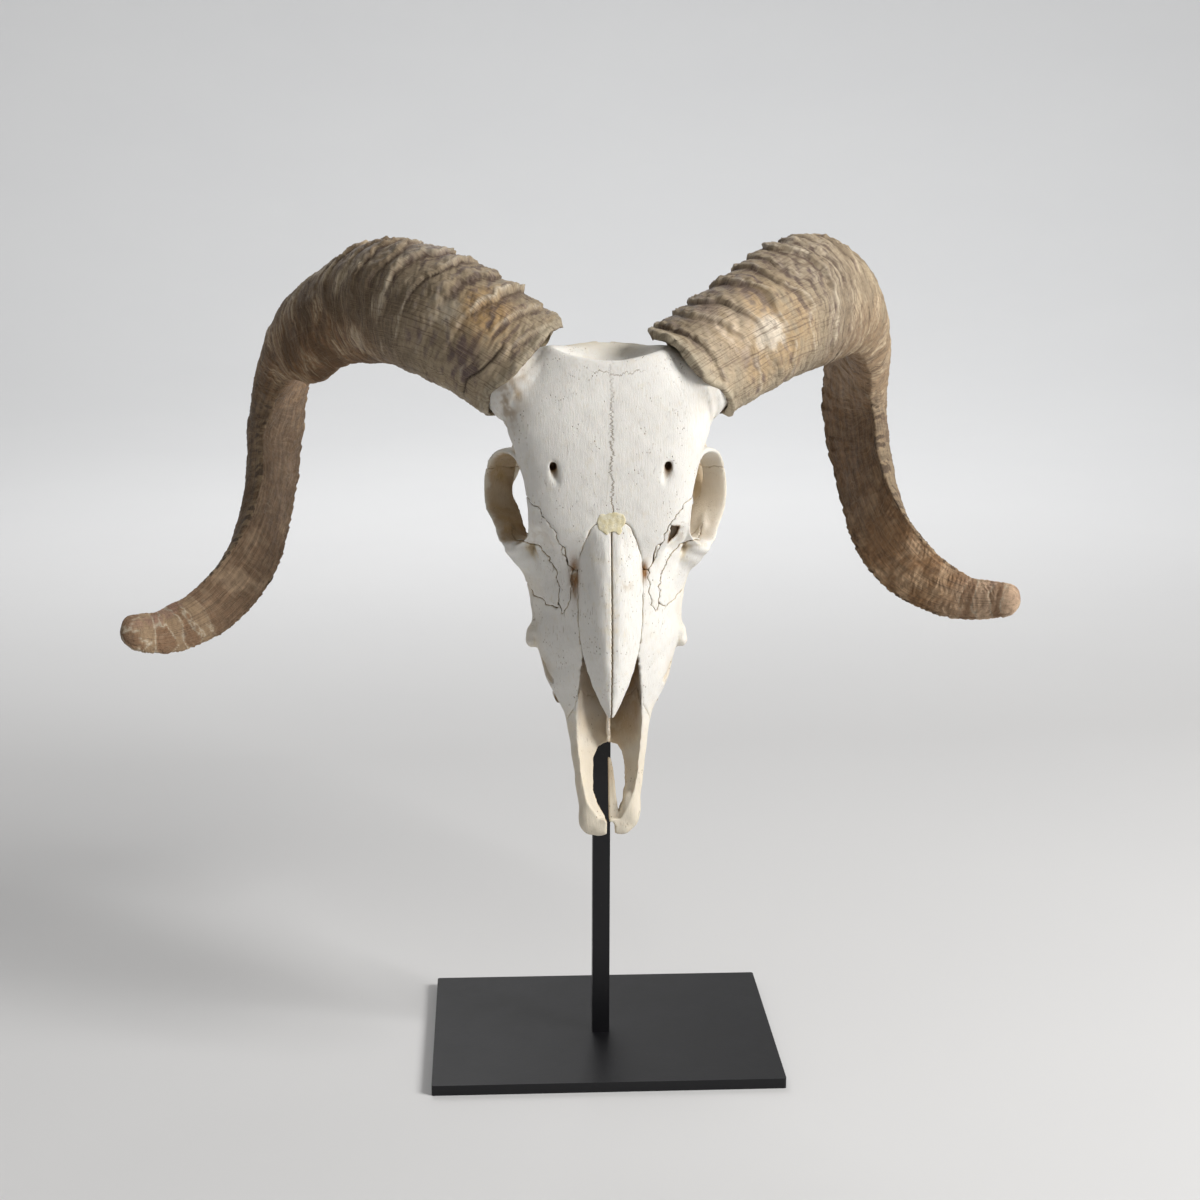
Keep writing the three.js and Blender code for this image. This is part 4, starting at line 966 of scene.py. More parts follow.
def horn_surface(side):
    """The horny sheath as one closed grid, by distance along the horn and turn about it: from the
    bottom of its socket out to the rim, over the rim, along the ringed outside and over the tip.
    Growth rings swell it in steps that lean back towards the rim at the crest."""
    length, t_at = horn_run(side)
    columns, step = ((144, 0.72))
    turn = np.arange(columns) * 2 * math.pi / columns
    outside = np.arange(0, length, step)
    inside = np.linspace(SOCKET_LENGTH, 1.5, 30)
    cap = np.linspace(0, 1, 9)[1:-1] * math.pi / 2

    # how far back the rim has crumbled, for each turn
    up, face = np.cos(turn), np.sin(turn)
    ring = np.stack([30 * up, 30 * face, 60.0 * side + 0 * up])
    rim = 1.6 + 1.1 * waves(61, ring, 40, 3) + 0.5 * waves(62, ring, 9, 2)
    over_brow = ease(np.cos(turn + 0.95), 0.15, 0.95)
    if side == RIGHT:
        rim = rim - 9.5 * over_brow + 5 * ease(np.cos(turn - 0.15), 0.93, 0.99)
    else:
        rim = (rim - 14 * over_brow - 3 * ease(up, 0.7, 0.98)
               + 4 * ease(np.cos(turn - 3.0), 0.93, 0.99))

    run = np.concatenate([inside, outside, length + TIP_LENGTH * np.sin(cap)])
    part = np.repeat([0, 1, 2], [len(inside), len(outside), len(cap)])[:, None]
    in_socket, ringed, at_tip = part == 0, part == 1, part == 2
    scale = np.concatenate([np.sqrt(np.clip(1 - (inside / (SOCKET_LENGTH + 0.5)) ** 3, 0, 1)),
                            np.ones(len(outside)), np.cos(cap)])[:, None]
    a = run[:, None] + 0 * turn
    a = np.where(at_tip, a, a + rim * np.exp(-np.clip(a, 0, None) / 26))
    stations = horn_frame(side, t_at(np.clip(a, 0, length)).ravel())
    middle, along, inward, crest, sizes = [v.reshape(*a.shape, -1) for v in stations]
    middle = middle + along * (np.maximum(a - length, 0) + np.minimum(a, 0))[..., None]
    reach = np.where(face > 0, sizes[..., 2], sizes[..., 1])
    chord = sizes[..., 0]
    # the rim's edge is rounded: inside and outside walls come together over the last 2 mm
    wall = SHEATH_WALL + 0.8 * waves(63, ring, 50, 2)
    thin = (np.where(in_socket, wall * (0.62 + 0.38 * ease(a - rim, 1, 9)), 0)
            + np.where(ringed, 1.1 * (1 - ease(a - rim, 0, 1.6)), 0))

    # growth rings, bent towards the rim at the crest
    r = np.maximum(chord, 1)
    near = np.stack([a, r * up, r * face])
    bent = (a + 10 * np.clip(up, 0, 1) ** 2 * ease(-a, -300, -60)
            + 3.6 * waves(64 + side, near, 46, 2) + 1.1 * waves(60 + side, near, 12, 2))
    pitch = 0.5
    table = np.arange(-40, length + 40, pitch)
    beats = np.cumsum(pitch / (RING_PACE(table) * (1 + 0.22 * waves(65 + side, (table,), 37, 2))))
    beat = np.interp(bent, table, beats)
    whole = np.floor(beat)
    past = beat - whole
    strength = 0.58 + 0.42 * np.sin(whole * 12.9898 + 4 * side) * np.cos(whole * 4.1 + 1)
    saw = np.where(past < RING_RISE, ease(past, 0, RING_RISE),
                   (1 - (past - RING_RISE) / (1 - RING_RISE)) ** 0.85)
    crest_share = ease(up + 0.22 * waves(66, near, 30, 2), -0.35, 0.85)
    swell = RING_HEIGHT(np.clip(a, 0, 430)) * strength * (saw - 0.55) * (0.30 + 0.70 * crest_share)
    # fine growth lines between the rings
    threads = np.cumsum(pitch / (2.3 + 0.5 * waves(68, (table,), 11)))
    lines = np.interp(bent + 0.8 * waves(67, near, 9, 2), table, threads)
    thread = np.abs(np.sin(math.pi * lines)) ** 0.7
    swell = swell + 0.55 * (thread - 0.6) * np.clip(0.6 + 0.6 * waves(69, near, 24, 2), 0, 1.2)
    # crumbled crests, dents and slow swellings
    crumble = waves(70 + side, near, 5.5, 3) * crest_share * saw
    swell = swell + 0.85 * crumble * ease(-a, -240, -60) + 0.45 * waves(71, near, 17, 2)
    swell = swell + 0.16 * waves(75, near, 3.2, 2)
    swell = swell + 0.9 * waves(72 + side, near, 60, 1) * ease(a, 0, 40)
    swell = np.where(in_socket, 0.25 * waves(73, near, 6, 2), swell)
    # a thick collar at the rim
    collar = bell(a - rim, 2.6, 2.4) * (0.75 + 0.5 * waves(74, near, 10, 2)) * ringed
    swell = swell + (1.5 if side == LEFT else 0.8) * collar
    # a ridge runs along both edges of the hanging part
    corner = bell(np.abs(up), 1, 0.035) * ease(a, 170, 240)
    swell = swell + 0.9 * corner * ~in_socket
    split = np.zeros_like(a)
    if side == RIGHT:
        split = bell(a - rim - 1.5 * up, 17, 0.75) * ease(np.cos(turn + 2.05), 0.72, 0.9) * ringed
    swell = (swell - 1.3 * split) * np.where(at_tip, scale, 1) - 0.25 * ~in_socket

    out_rise, out_side = up / r, face / np.maximum(reach, 1)
    norm = np.sqrt(out_rise ** 2 + out_side ** 2)
    rise = chord * up * scale + (swell - thin) * out_rise / norm
    side_way = reach * face * scale + (swell - thin) * out_side / norm
    if side == RIGHT:
        keel = ease(-up, 0.2, 1) * bell(a, KEEL_PLACE, KEEL_LENGTH) * ~in_socket
        rise, side_way = rise - 11 * keel, side_way + 5 * keel
    laid = middle + crest * rise[..., None] + inward * side_way[..., None]

    # poles: the bottom of the socket and the tip
    socket = laid[0].mean(0, keepdims=True)
    tip = middle[-1, :1] + along[-1, :1] * (TIP_LENGTH * (1 - math.sin(cap[-1])))
    points = np.vstack([laid.reshape(-1, 3), socket, tip])
    ends = np.arange(columns)
    following, pole = (ends + 1) % columns, np.full(columns, a.size)
    base = a.size - columns
    caps = (np.stack([pole, following, ends], 1),
            np.stack([base + ends, base + following, pole + 1], 1))
    values = dict(a=a, up=up + 0 * a, face=face + 0 * a, saw=saw, crest=crest_share, bent=bent,
                  thread=thread, lip=bell(past, RING_RISE, 0.055) * strength, socket=in_socket + 0 * a,
                  edge=a - rim, corner=corner, split=split,
                  run=a + 10 * np.clip(up, 0, 1) ** 2 + 5 * waves(77, near, 70, 2))

    def flat(v):
        return np.r_[v.ravel(), v[0].mean(), v[-1].mean()]

    return (points, grid_faces(len(run), columns), caps, {k: flat(v) for k, v in values.items()},
            np.stack([flat(v) for v in near], 1))


def horn_colour(side, near, v):
    """Weathered horn: a pale collar, gold and tan at the base with purplish dark patches, grey-brown
    rings on the bend, brown below (partly painted shade), dark grime in the ring valleys, pale lips on the
    rings, at the tip pale horn with brown windows, and painted shade in the socket."""
    a, up, face, edge = v["a"], v["up"], v["face"], v["edge"]
    right = side == RIGHT
    turn = np.arctan2(face, up)
    n = near.T * np.array([1.3, 0.7, 0.7])[:, None]
    big, mid, fine = waves(81 + side, n, 62, 4), waves(82 + side, n, 24, 4), waves(83, n, 7, 4)

    def patches(kind):
        total = 0
        for weight, at, long, angle, wide in PATCHES[side].get(kind, ()):
            off = np.abs((turn - math.radians(angle) + math.pi) % (2 * math.pi) - math.pi)
            total = total + weight * np.exp(-((a - at) / long) ** 2 - (off / math.radians(wide)) ** 2)
        return total + 0 * a

    def along(start, full):
        return ease(a, start, full)

    def before(full, end):
        return ease(-a, -end, -full)

    # the base and the bend
    gold = patches("gold") * (1.1 + 0.4 * fine + 0.6 * mid if right else 1.15 + 0.25 * fine + 0.5 * mid)
    colour = coated(
        plain(HORN_TAN, len(a)),
        (BEND_BROWN if right else HORN_GREY, ease(a + 22 * mid, 45, 110)),
        (STRAW if right else SAND, patches("wash")),
        (BEND_GREY, (0 if right else 0.8) * ease(a + 14 * mid, 95, 130)),
        (WASH, (0 if right else 0.6) * before(40, 90) * ease(-up, -0.8, -0.2)),
        (HORN_GOLD, (0.85 if right else 0.62) * ease(gold, 0.05, 1.0)),
        (BEND_PALE, 0.6 * ease(mid + 0.5 * fine, 0.0, 0.8) * along(60, 100) * before(190, 250)),
        # the underside browner: partly the horn's own colour, partly painted shade, stronger on the right
        (UNDER_BROWN, 0.85 * ease(-up + 0.3 * mid, 0.0, 0.8) * along(60, 120) * before(190, 250)
         * (1.0 if right else 0.5)),
        (HORN_PALE if right else CHALK, 0.9 * ease(patches("pale") + 0.35 * fine, 0.40, 1.10)),
        (MAUVE, 0.9 * ease(patches("dark") + 0.55 * fine + 0.45 * mid, 0.30, 1.35)))
    # freckles, grime between the rings, pale ridges and lips
    freckle = ease(fine + 0.4 * mid + 0.3 * big, 0.25, 0.75) * before(140, 230)
    grime = (1 - v["saw"]) * (0.35 + 0.65 * v["crest"]) * before(150, 280)
    valley = (1 - v["thread"]) ** 1.3 * ease(fine + 0.7 * mid, -0.7, 0.4) * along(30, 90)
    ridge = v["thread"] ** 3 * ease(mid - fine, 0.0, 0.6) * along(50, 100) * before(200, 260)
    shade = ease(-mid - 0.3 * fine, -0.4, 0.45) * along(35, 75) * before(170, 230)
    colour = coated(
        colour,
        (FRECKLE, 0.65 * freckle * (0.45 + 0.55 * v["crest"])),
        (HORN_DARK, 0.75 * ease(grime + 0.25 * fine, 0.45, 0.95)),
        (HORN_DARK, 0.60 * valley),
        (HORN_PALE, 0.55 * ridge),
        (HORN_PALE, 0.85 * v["lip"] * ease(mid + 0.4 * fine + 0.35 * v["crest"], 0.0, 0.5)),
        (ROSE, patches("rose") * (0.75 + 0.5 * fine)),
        (SHADE_BROWN, (0.6 if right else 0) * shade * ease(-up, -0.75, 0.0)))
    # beyond the base the horn is a warmer brown
    colour = colour * (1 - along(60, 130)[:, None] * np.array([0, 0.07, 0.17]))
    # a few dark cracks that follow the rings
    for crack in RING_CRACKS[side]:
        colour = mixed(colour, CRACK, 0.75 * bell(v["run"], crack, 0.55)
                       * ease(mid + 0.5 * up, -0.75, -0.2))
    # the inner face turns brown where the horn folds down
    colour = mixed(colour, FOLD_BROWN, 0.85 * ease(face + 0.2 * mid, 0.02, 0.3)
                   * ease(a + 10 * mid, 115, 165))

    # the hanging part: a brown inner face with soft bands, and an outer face with dark flecks
    hang = ease(a + 14 * mid, 195, 245)
    outer_pair, inner_pair = HANGING[side]
    outer = coated(plain(outer_pair[0], len(a)), (outer_pair[1], ease(big + 0.6 * mid, -0.2, 0.6)),
                   (FLECK, 0.7 * ease(fine + 0.5 * mid, 0.30, 0.75)))
    inner = mixed(plain(inner_pair[0], len(a)), inner_pair[1],
                  ease(np.sin(a / 7.5 + 3 * big) * 0.5 + mid, -0.2, 0.9) * along(225, 330))
    inner = inner * HANGING_LIGHT[side](np.clip(a, 200, 420))[:, None]
    outer = outer * (0.78 + 0.22 * right * along(270, 340))[:, None]
    share = ease(face, -0.04, 0.12)[:, None]
    colour = colour + (outer * (1 - share) + inner * share - colour) * (hang * 0.9)[:, None]
    streak = waves(85, near.T * np.array([0.10, 1, 1])[:, None], 3.6, 3)
    colour = colour * (1 + 0.30 * streak * along(150, 230))[:, None]
    corner = v["corner"] * hang
    colour = coated(
        colour,
        (CORNER_TAN, 0.6 * corner * ease(mid - fine, -0.5, 0.3)),
        (CRACK, 0.9 * ease(corner, 0.05, 0.4) * ease(fine + mid, 0.2, 0.6)))

    # the tip: pale horn with brown windows across it
    depth = (np.sin(a * 0.36 + 1.0 * mid + 1.2 * side) + 0.5 * mid + 0.35 * fine
             + 0.35 * np.sin(3 * turn + side)) * (1 - 0.5 * before(352, 372))
    end = coated(
        plain(TIP_COLOUR[side], len(a)),
        (WINDOW, 0.85 * ease(depth, 0.25, 0.55) * (0.9 if right else 0.7)),
        (DEEP_WINDOW, 0.6 * ease(depth + 0.4 * fine, 0.7, 1.2)),
        (TIP_PINK, 0.6 * ease(-mid, 0.1, 0.6) * ease(-up, -0.2, 0.6)),
        (HORN_PALE, 0.9 * bell(depth, 0.15, 0.15) * ease(a + 5 * mid, 366, 388)))
    colour = colour + (end - colour) * (ease(a + 7 * mid, 358, 392) * 0.92)[:, None]

    # the rim, the split beside it, and painted shade in the socket, darker deeper in
    colour = coated(
        colour,
        (COLLAR, 0.8 * ease(-edge + 1.5 * fine, -7, -3.5)),
        (HORN_DARK, 0.7 * ease(-edge, -6, 0) * ease(fine, 0.15, 0.6)),
        (SPLIT, v["split"]),
        # painted shade: near black inside the socket, deeper in
        (SOCKET, 0.85 * (v["socket"] > 0.5) * ease(edge, 2, 10)))
    return np.clip(colour * (1 + 0.12 * mid + 0.12 * fine)[:, None], 0.01, 0.95)


def horn(side, material):
    """One horn sheath with its colours, replacing its CAD node."""
    points, faces, caps, v, near = horn_surface(side)
    if side == LEFT:
        faces, caps = faces[:, ::-1], [cap[:, ::-1] for cap in caps]
    triangles = np.vstack([faces[:, [0, 1, 2]], faces[:, [0, 2, 3]], *caps])
    name = "horn_" + SIDE_NAME[side]
    margin = 0.0002
    inside_box = np.clip(placed(points), np.array(cad_low) + margin, np.array(cad_high) - margin)
    piece(name, inside_box, triangles, material, "horn", [name], tint=horn_colour(side, near, v), grain=near,
          run=np.stack([v["bent"], v["up"] * 30, v["face"] * 30], 1))


# ------------------------------------------------------------------ cheek teeth
TOOTH_LENGTHS = [7.5, 9, 10.5, 13, 16, 18]
ROW_START, ROW_LENGTH = 186, 74
CROWN = 8.9            # height of the grinding face over the palate's edge
TOOTH_CREAM, ROOT_BROWN, PIT_BROWN = (0.62, 0.55, 0.40), (0.30, 0.20, 0.11), (0.10, 0.06, 0.035)


def tooth_row(side, material):
    """Six cheek teeth: each a tube of ovals with three ribs on the cheek side, from inside the jaw to
    the crown, closed by a grinding face with two pairs of crescent hollows."""
    columns = 64
    around = np.arange(columns) * 2 * math.pi / columns
    c, z = np.cos(around), np.sin(around)
    ribs = sum(0.55 * bell(z, at, 0.16) for at in (0.95, -0.05, -0.95))
    inwards = np.array([0.8, 0.68, 0.55, 0.42, 0.3, 0.2, 0.1])
    level = np.r_[np.linspace(-8, 7.6, 16), 8.4, CROWN, np.full(len(inwards), CROWN)][:, None]
    size = np.r_[np.linspace(0.9, 1.0, 16), 0.97, 0.9, inwards * 0.9][:, None]
    top = (np.arange(len(level)) >= len(level) - len(inwards))[:, None]
    count = level.size * columns
    ends = np.arange(columns)
    following, pole = (ends + 1) % columns, np.full(columns, count)
    body = grid_faces(len(level), columns)
    one_tooth = np.vstack([
        body[:, [0, 1, 2]], body[:, [0, 2, 3]],
        np.stack([count - columns + ends, count - columns + following, pole], 1),
        np.stack([following, ends, pole + 1], 1)])
    points, faces, tint = [], [], []
    for i, length in enumerate(TOOTH_LENGTHS):
        s0 = ROW_START - sum(TOOTH_LENGTHS[:i]) - length / 2
        back = (ROW_START - s0) / ROW_LENGTH
        x0 = (23.5 + 10.5 * math.sin(back * math.pi * 0.55)) * side
        long, wide = length / 2 - 0.2, 4.2 + 2.6 * math.sqrt(back)
        u = size * (wide * np.sign(c) * np.abs(c) ** 0.6 + np.where(c > 0, ribs, 0))
        v = size * (long * np.sign(z) * np.abs(z) ** 0.6)
        h = level + 0 * u
        for centre in (-0.45, 0.45):
            bow = (v / long - centre) ** 2 / 0.10
            for way in (1, -1):
                h = h - top * 1.7 * np.exp(-((u / wide - way * (0.35 - 0.1 * bow)) / 0.14) ** 2 - bow)
        h = h + top * (0.9 * u / wide)
        laid = np.stack([x0 + side * u, s0 + v, palate(s0 + v) + h], -1).reshape(-1, 3)
        middle = [[x0, s0, float(palate(np.array(s0))) + CROWN - 0.3]]
        faces.append((one_tooth if side == RIGHT else one_tooth[:, ::-1]) + i * (count + 2))
        laid = np.vstack([laid, middle, laid[:columns].mean(0, keepdims=True)])
        hollow = np.r_[(h - level).ravel(), -1, 0]
        root = ease(-np.r_[h.ravel(), 9, -8], -4, 0.5)
        points.append(laid)
        tint.append(coated(
            plain(TOOTH_CREAM, len(laid)),
            (ROOT_BROWN, 0.6 * root + 0.5 * ease(waves(91, laid.T, 6, 3), 0, 0.8)),
            (PIT_BROWN, ease(-hollow, 0.35, 1.2))))
    laid = np.vstack(points)
    name = SIDE_NAME[side]
    piece("cheek_teeth_" + name, placed(laid), np.vstack(faces), material, "bone", ["maxilla_" + name],
          laid=laid, tint=np.vstack(tint))


# ------------------------------------------------------------------ finishes
class Finish:
    """A material and its shader. colour and height build up layer by layer from stain and lift."""

    def __init__(self, name, roughness, specular=0.5, colour=None):
        self.material = bpy.data.materials.new(name)
        self.material.use_nodes = True
        self.tree = self.material.node_tree
        self.shader = self.tree.nodes["Principled BSDF"]
        self.shader.inputs["Roughness"].default_value = roughness
        self.shader.inputs["Specular IOR Level"].default_value = specular
        self.colour = self.layer("tint", "Color") if colour is None else (*colour, 1)
        self.height = None

    def node(self, kind, inputs=(), **settings):
        made = self.tree.nodes.new("ShaderNode" + kind)
        for setting, value in settings.items():
            setattr(made, setting, value)
        for socket, value in dict(inputs).items():
            self.feed(made.inputs[socket], value)
        return made

    def feed(self, socket, value):
        if isinstance(value, bpy.types.NodeSocket):
            self.tree.links.new(value, socket)
        else:
            socket.default_value = value

    def layer(self, name, output="Vector"):
        """One of the mesh's own layers of values."""
        return self.node("Attribute", attribute_name=name).outputs[output]

    def work(self, operation, *values):
        return self.node("Math", dict(enumerate(values)), operation=operation).outputs[0]

    def times(self, *values):
        return self.work("MULTIPLY", *values)

    def plus(self, *values):
        return self.work("ADD", *values)

    def gap(self, a, b):
        """How far a is from b, either way."""
        return self.work("ABSOLUTE", self.work("SUBTRACT", a, b))

    def rise(self, value, low, high, to_low=0.0, to_high=1.0):
        """A smooth rise of value from low to high."""
        made = self.node("MapRange", {"Value": value, "From Min": low, "From Max": high, "To Min": to_low,
                                      "To Max": to_high}, interpolation_type="SMOOTHSTEP")
        return made.outputs["Result"]

    def noise(self, place, scale, detail=3.0, roughness=0.55, distortion=0.0):
        """Noise of one scale, or stretched by three scales along the axes."""
        if isinstance(scale, tuple):
            place, scale = self.node("Mapping", {"Vector": place, "Scale": scale}).outputs[0], 1.0
        return self.node("TexNoise", {"Vector": place, "Scale": scale, "Detail": detail,
                                      "Roughness": roughness, "Distortion": distortion}).outputs["Fac"]

    def stain(self, share, *paint):
        """Lays a paint over the colour so far."""
        made = self.node("Mix", {0: share, 6: self.colour, 7: (*paint, 1)}, data_type="RGBA")
        self.colour = made.outputs[2]

    def lift(self, value, amount):
        """Adds to the height that the bump follows; a negative amount sinks it."""
        more = self.times(value, amount)
        self.height = more if self.height is None else self.plus(self.height, more)

    def done(self, strength, distance, roughness=None):
        bump = self.node("Bump", {"Height": self.height, "Strength": strength, "Distance": distance})
        self.feed(self.shader.inputs["Base Color"], self.colour)
        self.feed(self.shader.inputs["Normal"], bump.outputs[0])
        if roughness is not None:
            self.feed(self.shader.inputs["Roughness"], roughness)
        return self.material


def bone_finish(name, warm=0.0, sutures=False):
    """Dry bone: its laid colours, broken up by streaks down the face, specks and fine pores, with the
    middle suture and the hairline cracks of the forehead where asked."""
    f = Finish(name, 0.62, 0.32)
    laid = f.layer("laid")
    streak, cloud = f.noise(laid, (1.3, 0.16, 1.3), 4, 0.62), f.noise(laid, 0.13, 4, 0.6)
    grain = f.noise(laid, (3.2, 1.1, 3.2), 3, 0.6)
    squashed = f.node("Mapping", {"Vector": laid, "Scale": (1.0, 0.62, 1.0)}).outputs[0]
    pore = f.node("TexVoronoi", {"Vector": squashed, "Scale": 0.62, "Randomness": 1.0},
                  feature="F1").outputs["Distance"]
    pit = f.times(f.rise(pore, 0.24, 0.10), f.rise(f.noise(laid, 0.09, 2, 0.5), 0.50, 0.66))
    f.stain(f.rise(streak, 0.52, 0.72, 0.0, 0.34), 0.70, 0.61, 0.46)
    f.stain(f.rise(cloud, 0.55, 0.75, 0.0, 0.30 + warm), 0.74, 0.66, 0.50)
    f.stain(f.rise(grain, 0.60, 0.78, 0.0, 0.22), 0.55, 0.45, 0.31)
    f.stain(f.times(pit, 0.75), 0.24, 0.16, 0.09)
    slit = f.rise(f.noise(laid, (1.9, 0.17, 1.9), 2, 0.5, 0.3), 0.66, 0.71)
    slit = f.times(slit, f.rise(f.noise(laid, 0.055, 2, 0.5), 0.47, 0.60))
    f.stain(f.times(slit, 0.55), 0.33, 0.25, 0.16)
    for value, amount in ((streak, 0.7), (grain, 0.4), (pit, -1.1), (slit, -1.3)):
        f.lift(value, amount)
    if sutures:
        x, s, d = f.node("SeparateXYZ", {"Vector": laid}).outputs
        front = f.rise(d, 14.0, 8.0)
        # the suture down the middle: a zigzag that grows finer and stronger towards the nose
        wide = f.plus(f.noise(laid, (0.0, 0.10, 0.0), 1, 0.5), -0.5)
        zig = f.plus(f.noise(laid, (0.0, 0.62, 0.0), 3, 0.85), -0.5)
        path = f.plus(f.times(wide, 5.0), f.times(f.times(zig, 9.0), f.rise(s, 66.0, 76.0, 1.0, 0.28)))
        line = f.times(f.rise(f.gap(x, f.plus(path, 0.3)), 0.55, 0.12), f.rise(s, 84.5, 83.0))
        line = f.times(f.times(line, f.rise(s, 4.0, 40.0, 0.22, 1.0)), front)
        f.stain(f.times(line, 0.80), 0.30, 0.22, 0.13)
        f.lift(line, -1.6)
        # hairline cracks across the top of the forehead
        bend = f.times(f.noise(laid, (0.10, 0.02, 0.0), 4, 0.7), 16.0)
        across = f.times(f.rise(f.gap(x, 4.0), 17.0, 9.0), front)
        crack = f.times(f.rise(f.gap(f.plus(s, bend), 12.5), 0.35, 0.06), across)
        f.stain(f.times(crack, 0.55), 0.34, 0.26, 0.17)
        f.lift(crack, -1.0)
    f.shader.inputs["Subsurface Weight"].default_value = 0.06
    f.shader.inputs["Subsurface Radius"].default_value = (0.004, 0.0025, 0.0015)
    f.shader.inputs["Subsurface Scale"].default_value = 1.0
    return f.done(0.75, 0.0004, f.rise(cloud, 0.3, 0.7, 0.54, 0.70))


def filler_finish():
    """Aged filler: dull cream yellow with a grainy skin and paler smears."""
    f = Finish("aged_filler", 0.8, colour=(0.70, 0.62, 0.39))
    laid = f.layer("laid")
    grain = f.noise(laid, 1.4, 4, 0.65)
    f.stain(f.rise(f.noise(laid, 0.28, 4, 0.6), 0.4, 0.65), 0.78, 0.73, 0.56)
    f.stain(f.rise(grain, 0.58, 0.75, 0.0, 0.5), 0.46, 0.37, 0.20)
    f.lift(grain, 1.0)
    return f.done(0.7, 0.0003)


def horn_finish():
    """Weathered horn: its laid colours with fibres along it, crossed by wavy fine growth lines, dark
    pits and a dull, patchy shine."""
    f = Finish("weathered_horn", 0.55, 0.28)
    grain, run = f.layer("grain"), f.layer("run")
    along = f.node("SeparateXYZ", {"Vector": run}).outputs["X"]
    fibrous = f.plus(f.rise(along, 60.0, 110.0, 0.9, 0.35), f.times(f.rise(along, 195.0, 245.0), 0.6))
    ringed = f.times(f.rise(along, 35.0, 100.0, 0.40, 1.0), f.rise(along, 195.0, 245.0, 1.0, 0.45))
    fibre = f.noise(run, (0.045, 1.1, 1.1), 4, 0.66, 0.12)
    hair = f.noise(run, (0.09, 2.6, 2.6), 3, 0.66, 0.2)
    across = f.noise(run, (0.95, 0.045, 0.045), 6, 0.72, 0.3)
    blot, fleck = f.noise(grain, 0.12, 5, 0.66), f.noise(grain, 0.9, 4, 0.7)
    f.stain(f.times(f.rise(fibre, 0.50, 0.66, 0.0, 0.72), fibrous), 0.13, 0.085, 0.055)
    f.stain(f.times(f.rise(hair, 0.52, 0.68, 0.0, 0.50), fibrous), 0.56, 0.44, 0.29)
    f.stain(f.times(f.rise(across, 0.52, 0.64, 0.0, 0.68), ringed), 0.10, 0.068, 0.045)
    f.stain(f.times(f.rise(across, 0.44, 0.34, 0.0, 0.42), ringed), 0.56, 0.45, 0.31)
    f.stain(f.rise(blot, 0.56, 0.74, 0.0, 0.30), 0.10, 0.065, 0.055)
    f.stain(f.rise(fleck, 0.60, 0.72, 0.0, 0.50), 0.085, 0.058, 0.045)
    for value, amount in ((fibre, 0.5), (hair, 0.35), (across, 0.9), (f.rise(fleck, 0.58, 0.72), -0.5)):
        f.lift(value, amount)
    return f.done(0.9, 0.0007, f.rise(blot, 0.3, 0.7, 0.42, 0.66))


def powder_coat():
    """Satin black powder coat: a fine orange-peel skin, with faint dust on top of it."""
    f = Finish("black_powder_coat", 0.42, 0.32, (0.007, 0.007, 0.0085))
    place = f.node("TexCoord").outputs["Object"]
    dust = f.noise(place, 22.0, 5, 0.62)
    f.stain(f.rise(dust, 0.45, 0.75, 0.0, 0.15), 0.022, 0.021, 0.020)
    f.stain(f.rise(f.noise(place, 420.0, 3, 0.7), 0.68, 0.78, 0.0, 0.25), 0.10, 0.095, 0.088)
    f.lift(f.noise(place, 900.0, 2, 0.5), 1.0)
    return f.done(0.25, 0.00012, f.rise(dust, 0.3, 0.75, 0.38, 0.46))


def enamel():
    """Teeth: laid colours with fine upright streaks under a slight shine."""
    f = Finish("tooth_enamel", 0.38)
    streak = f.noise(f.layer("laid"), (2.4, 2.4, 0.35), 3, 0.6)
    f.stain(f.rise(streak, 0.5, 0.7, 0.0, 0.5), 0.24, 0.16, 0.09)
    f.lift(streak, 1.0)
    return f.done(0.4, 0.0002)


def floor_finish():
    """A pale floor, a little cloudy."""
    f = Finish("pale_floor", 0.7, colour=(0.70, 0.70, 0.705))
    f.stain(f.noise(f.node("TexCoord").outputs["Object"], 3.0, 3), 0.73, 0.73, 0.73)
    f.feed(f.shader.inputs["Base Color"], f.colour)
    return f.material


# ------------------------------------------------------------------ the skull, horns and stand
white_bone = bone_finish("white_bone")
nose_bone = bone_finish("nose_bone", warm=0.10)
muzzle_bone = bone_finish("muzzle_bone", warm=0.25)
horn_material = horn_finish()
tooth_material = enamel()
coat = powder_coat()

bone_piece("cranium", bone("cranium", LEFT), bone_finish("brow_bone", sutures=True), "bone")
for side in (RIGHT, LEFT):
    for kind in ("lacrimal", "zygomatic", "maxilla"):
        bone_piece(f"{kind}_{SIDE_NAME[side]}", bone(kind, side), white_bone, "bone")
    bone_piece("premaxilla_" + SIDE_NAME[side], bone("premaxilla", side), muzzle_bone, "muzzle_bone")
    bone_piece("nasal_" + SIDE_NAME[side], nasal_bone(side), nose_bone, "nasal_bone")
    tooth_row(side, tooth_material)
    horn(side, horn_material)
bone_piece("vomer", vomer_bone(), muzzle_bone, "muzzle_bone")
bone_piece("nose_filler", nose_filler(), filler_finish(), "nasal_bone", [])

for node in ("stand_base", "stand_rod"):
    metal = frame["nodes"][node]
    metal.data.materials.clear()
    metal.data.materials.append(coat)


# ------------------------------------------------------------------ floor, light and camera
FLAT_RADIUS, FAR_RADIUS = 2.2, 7.5


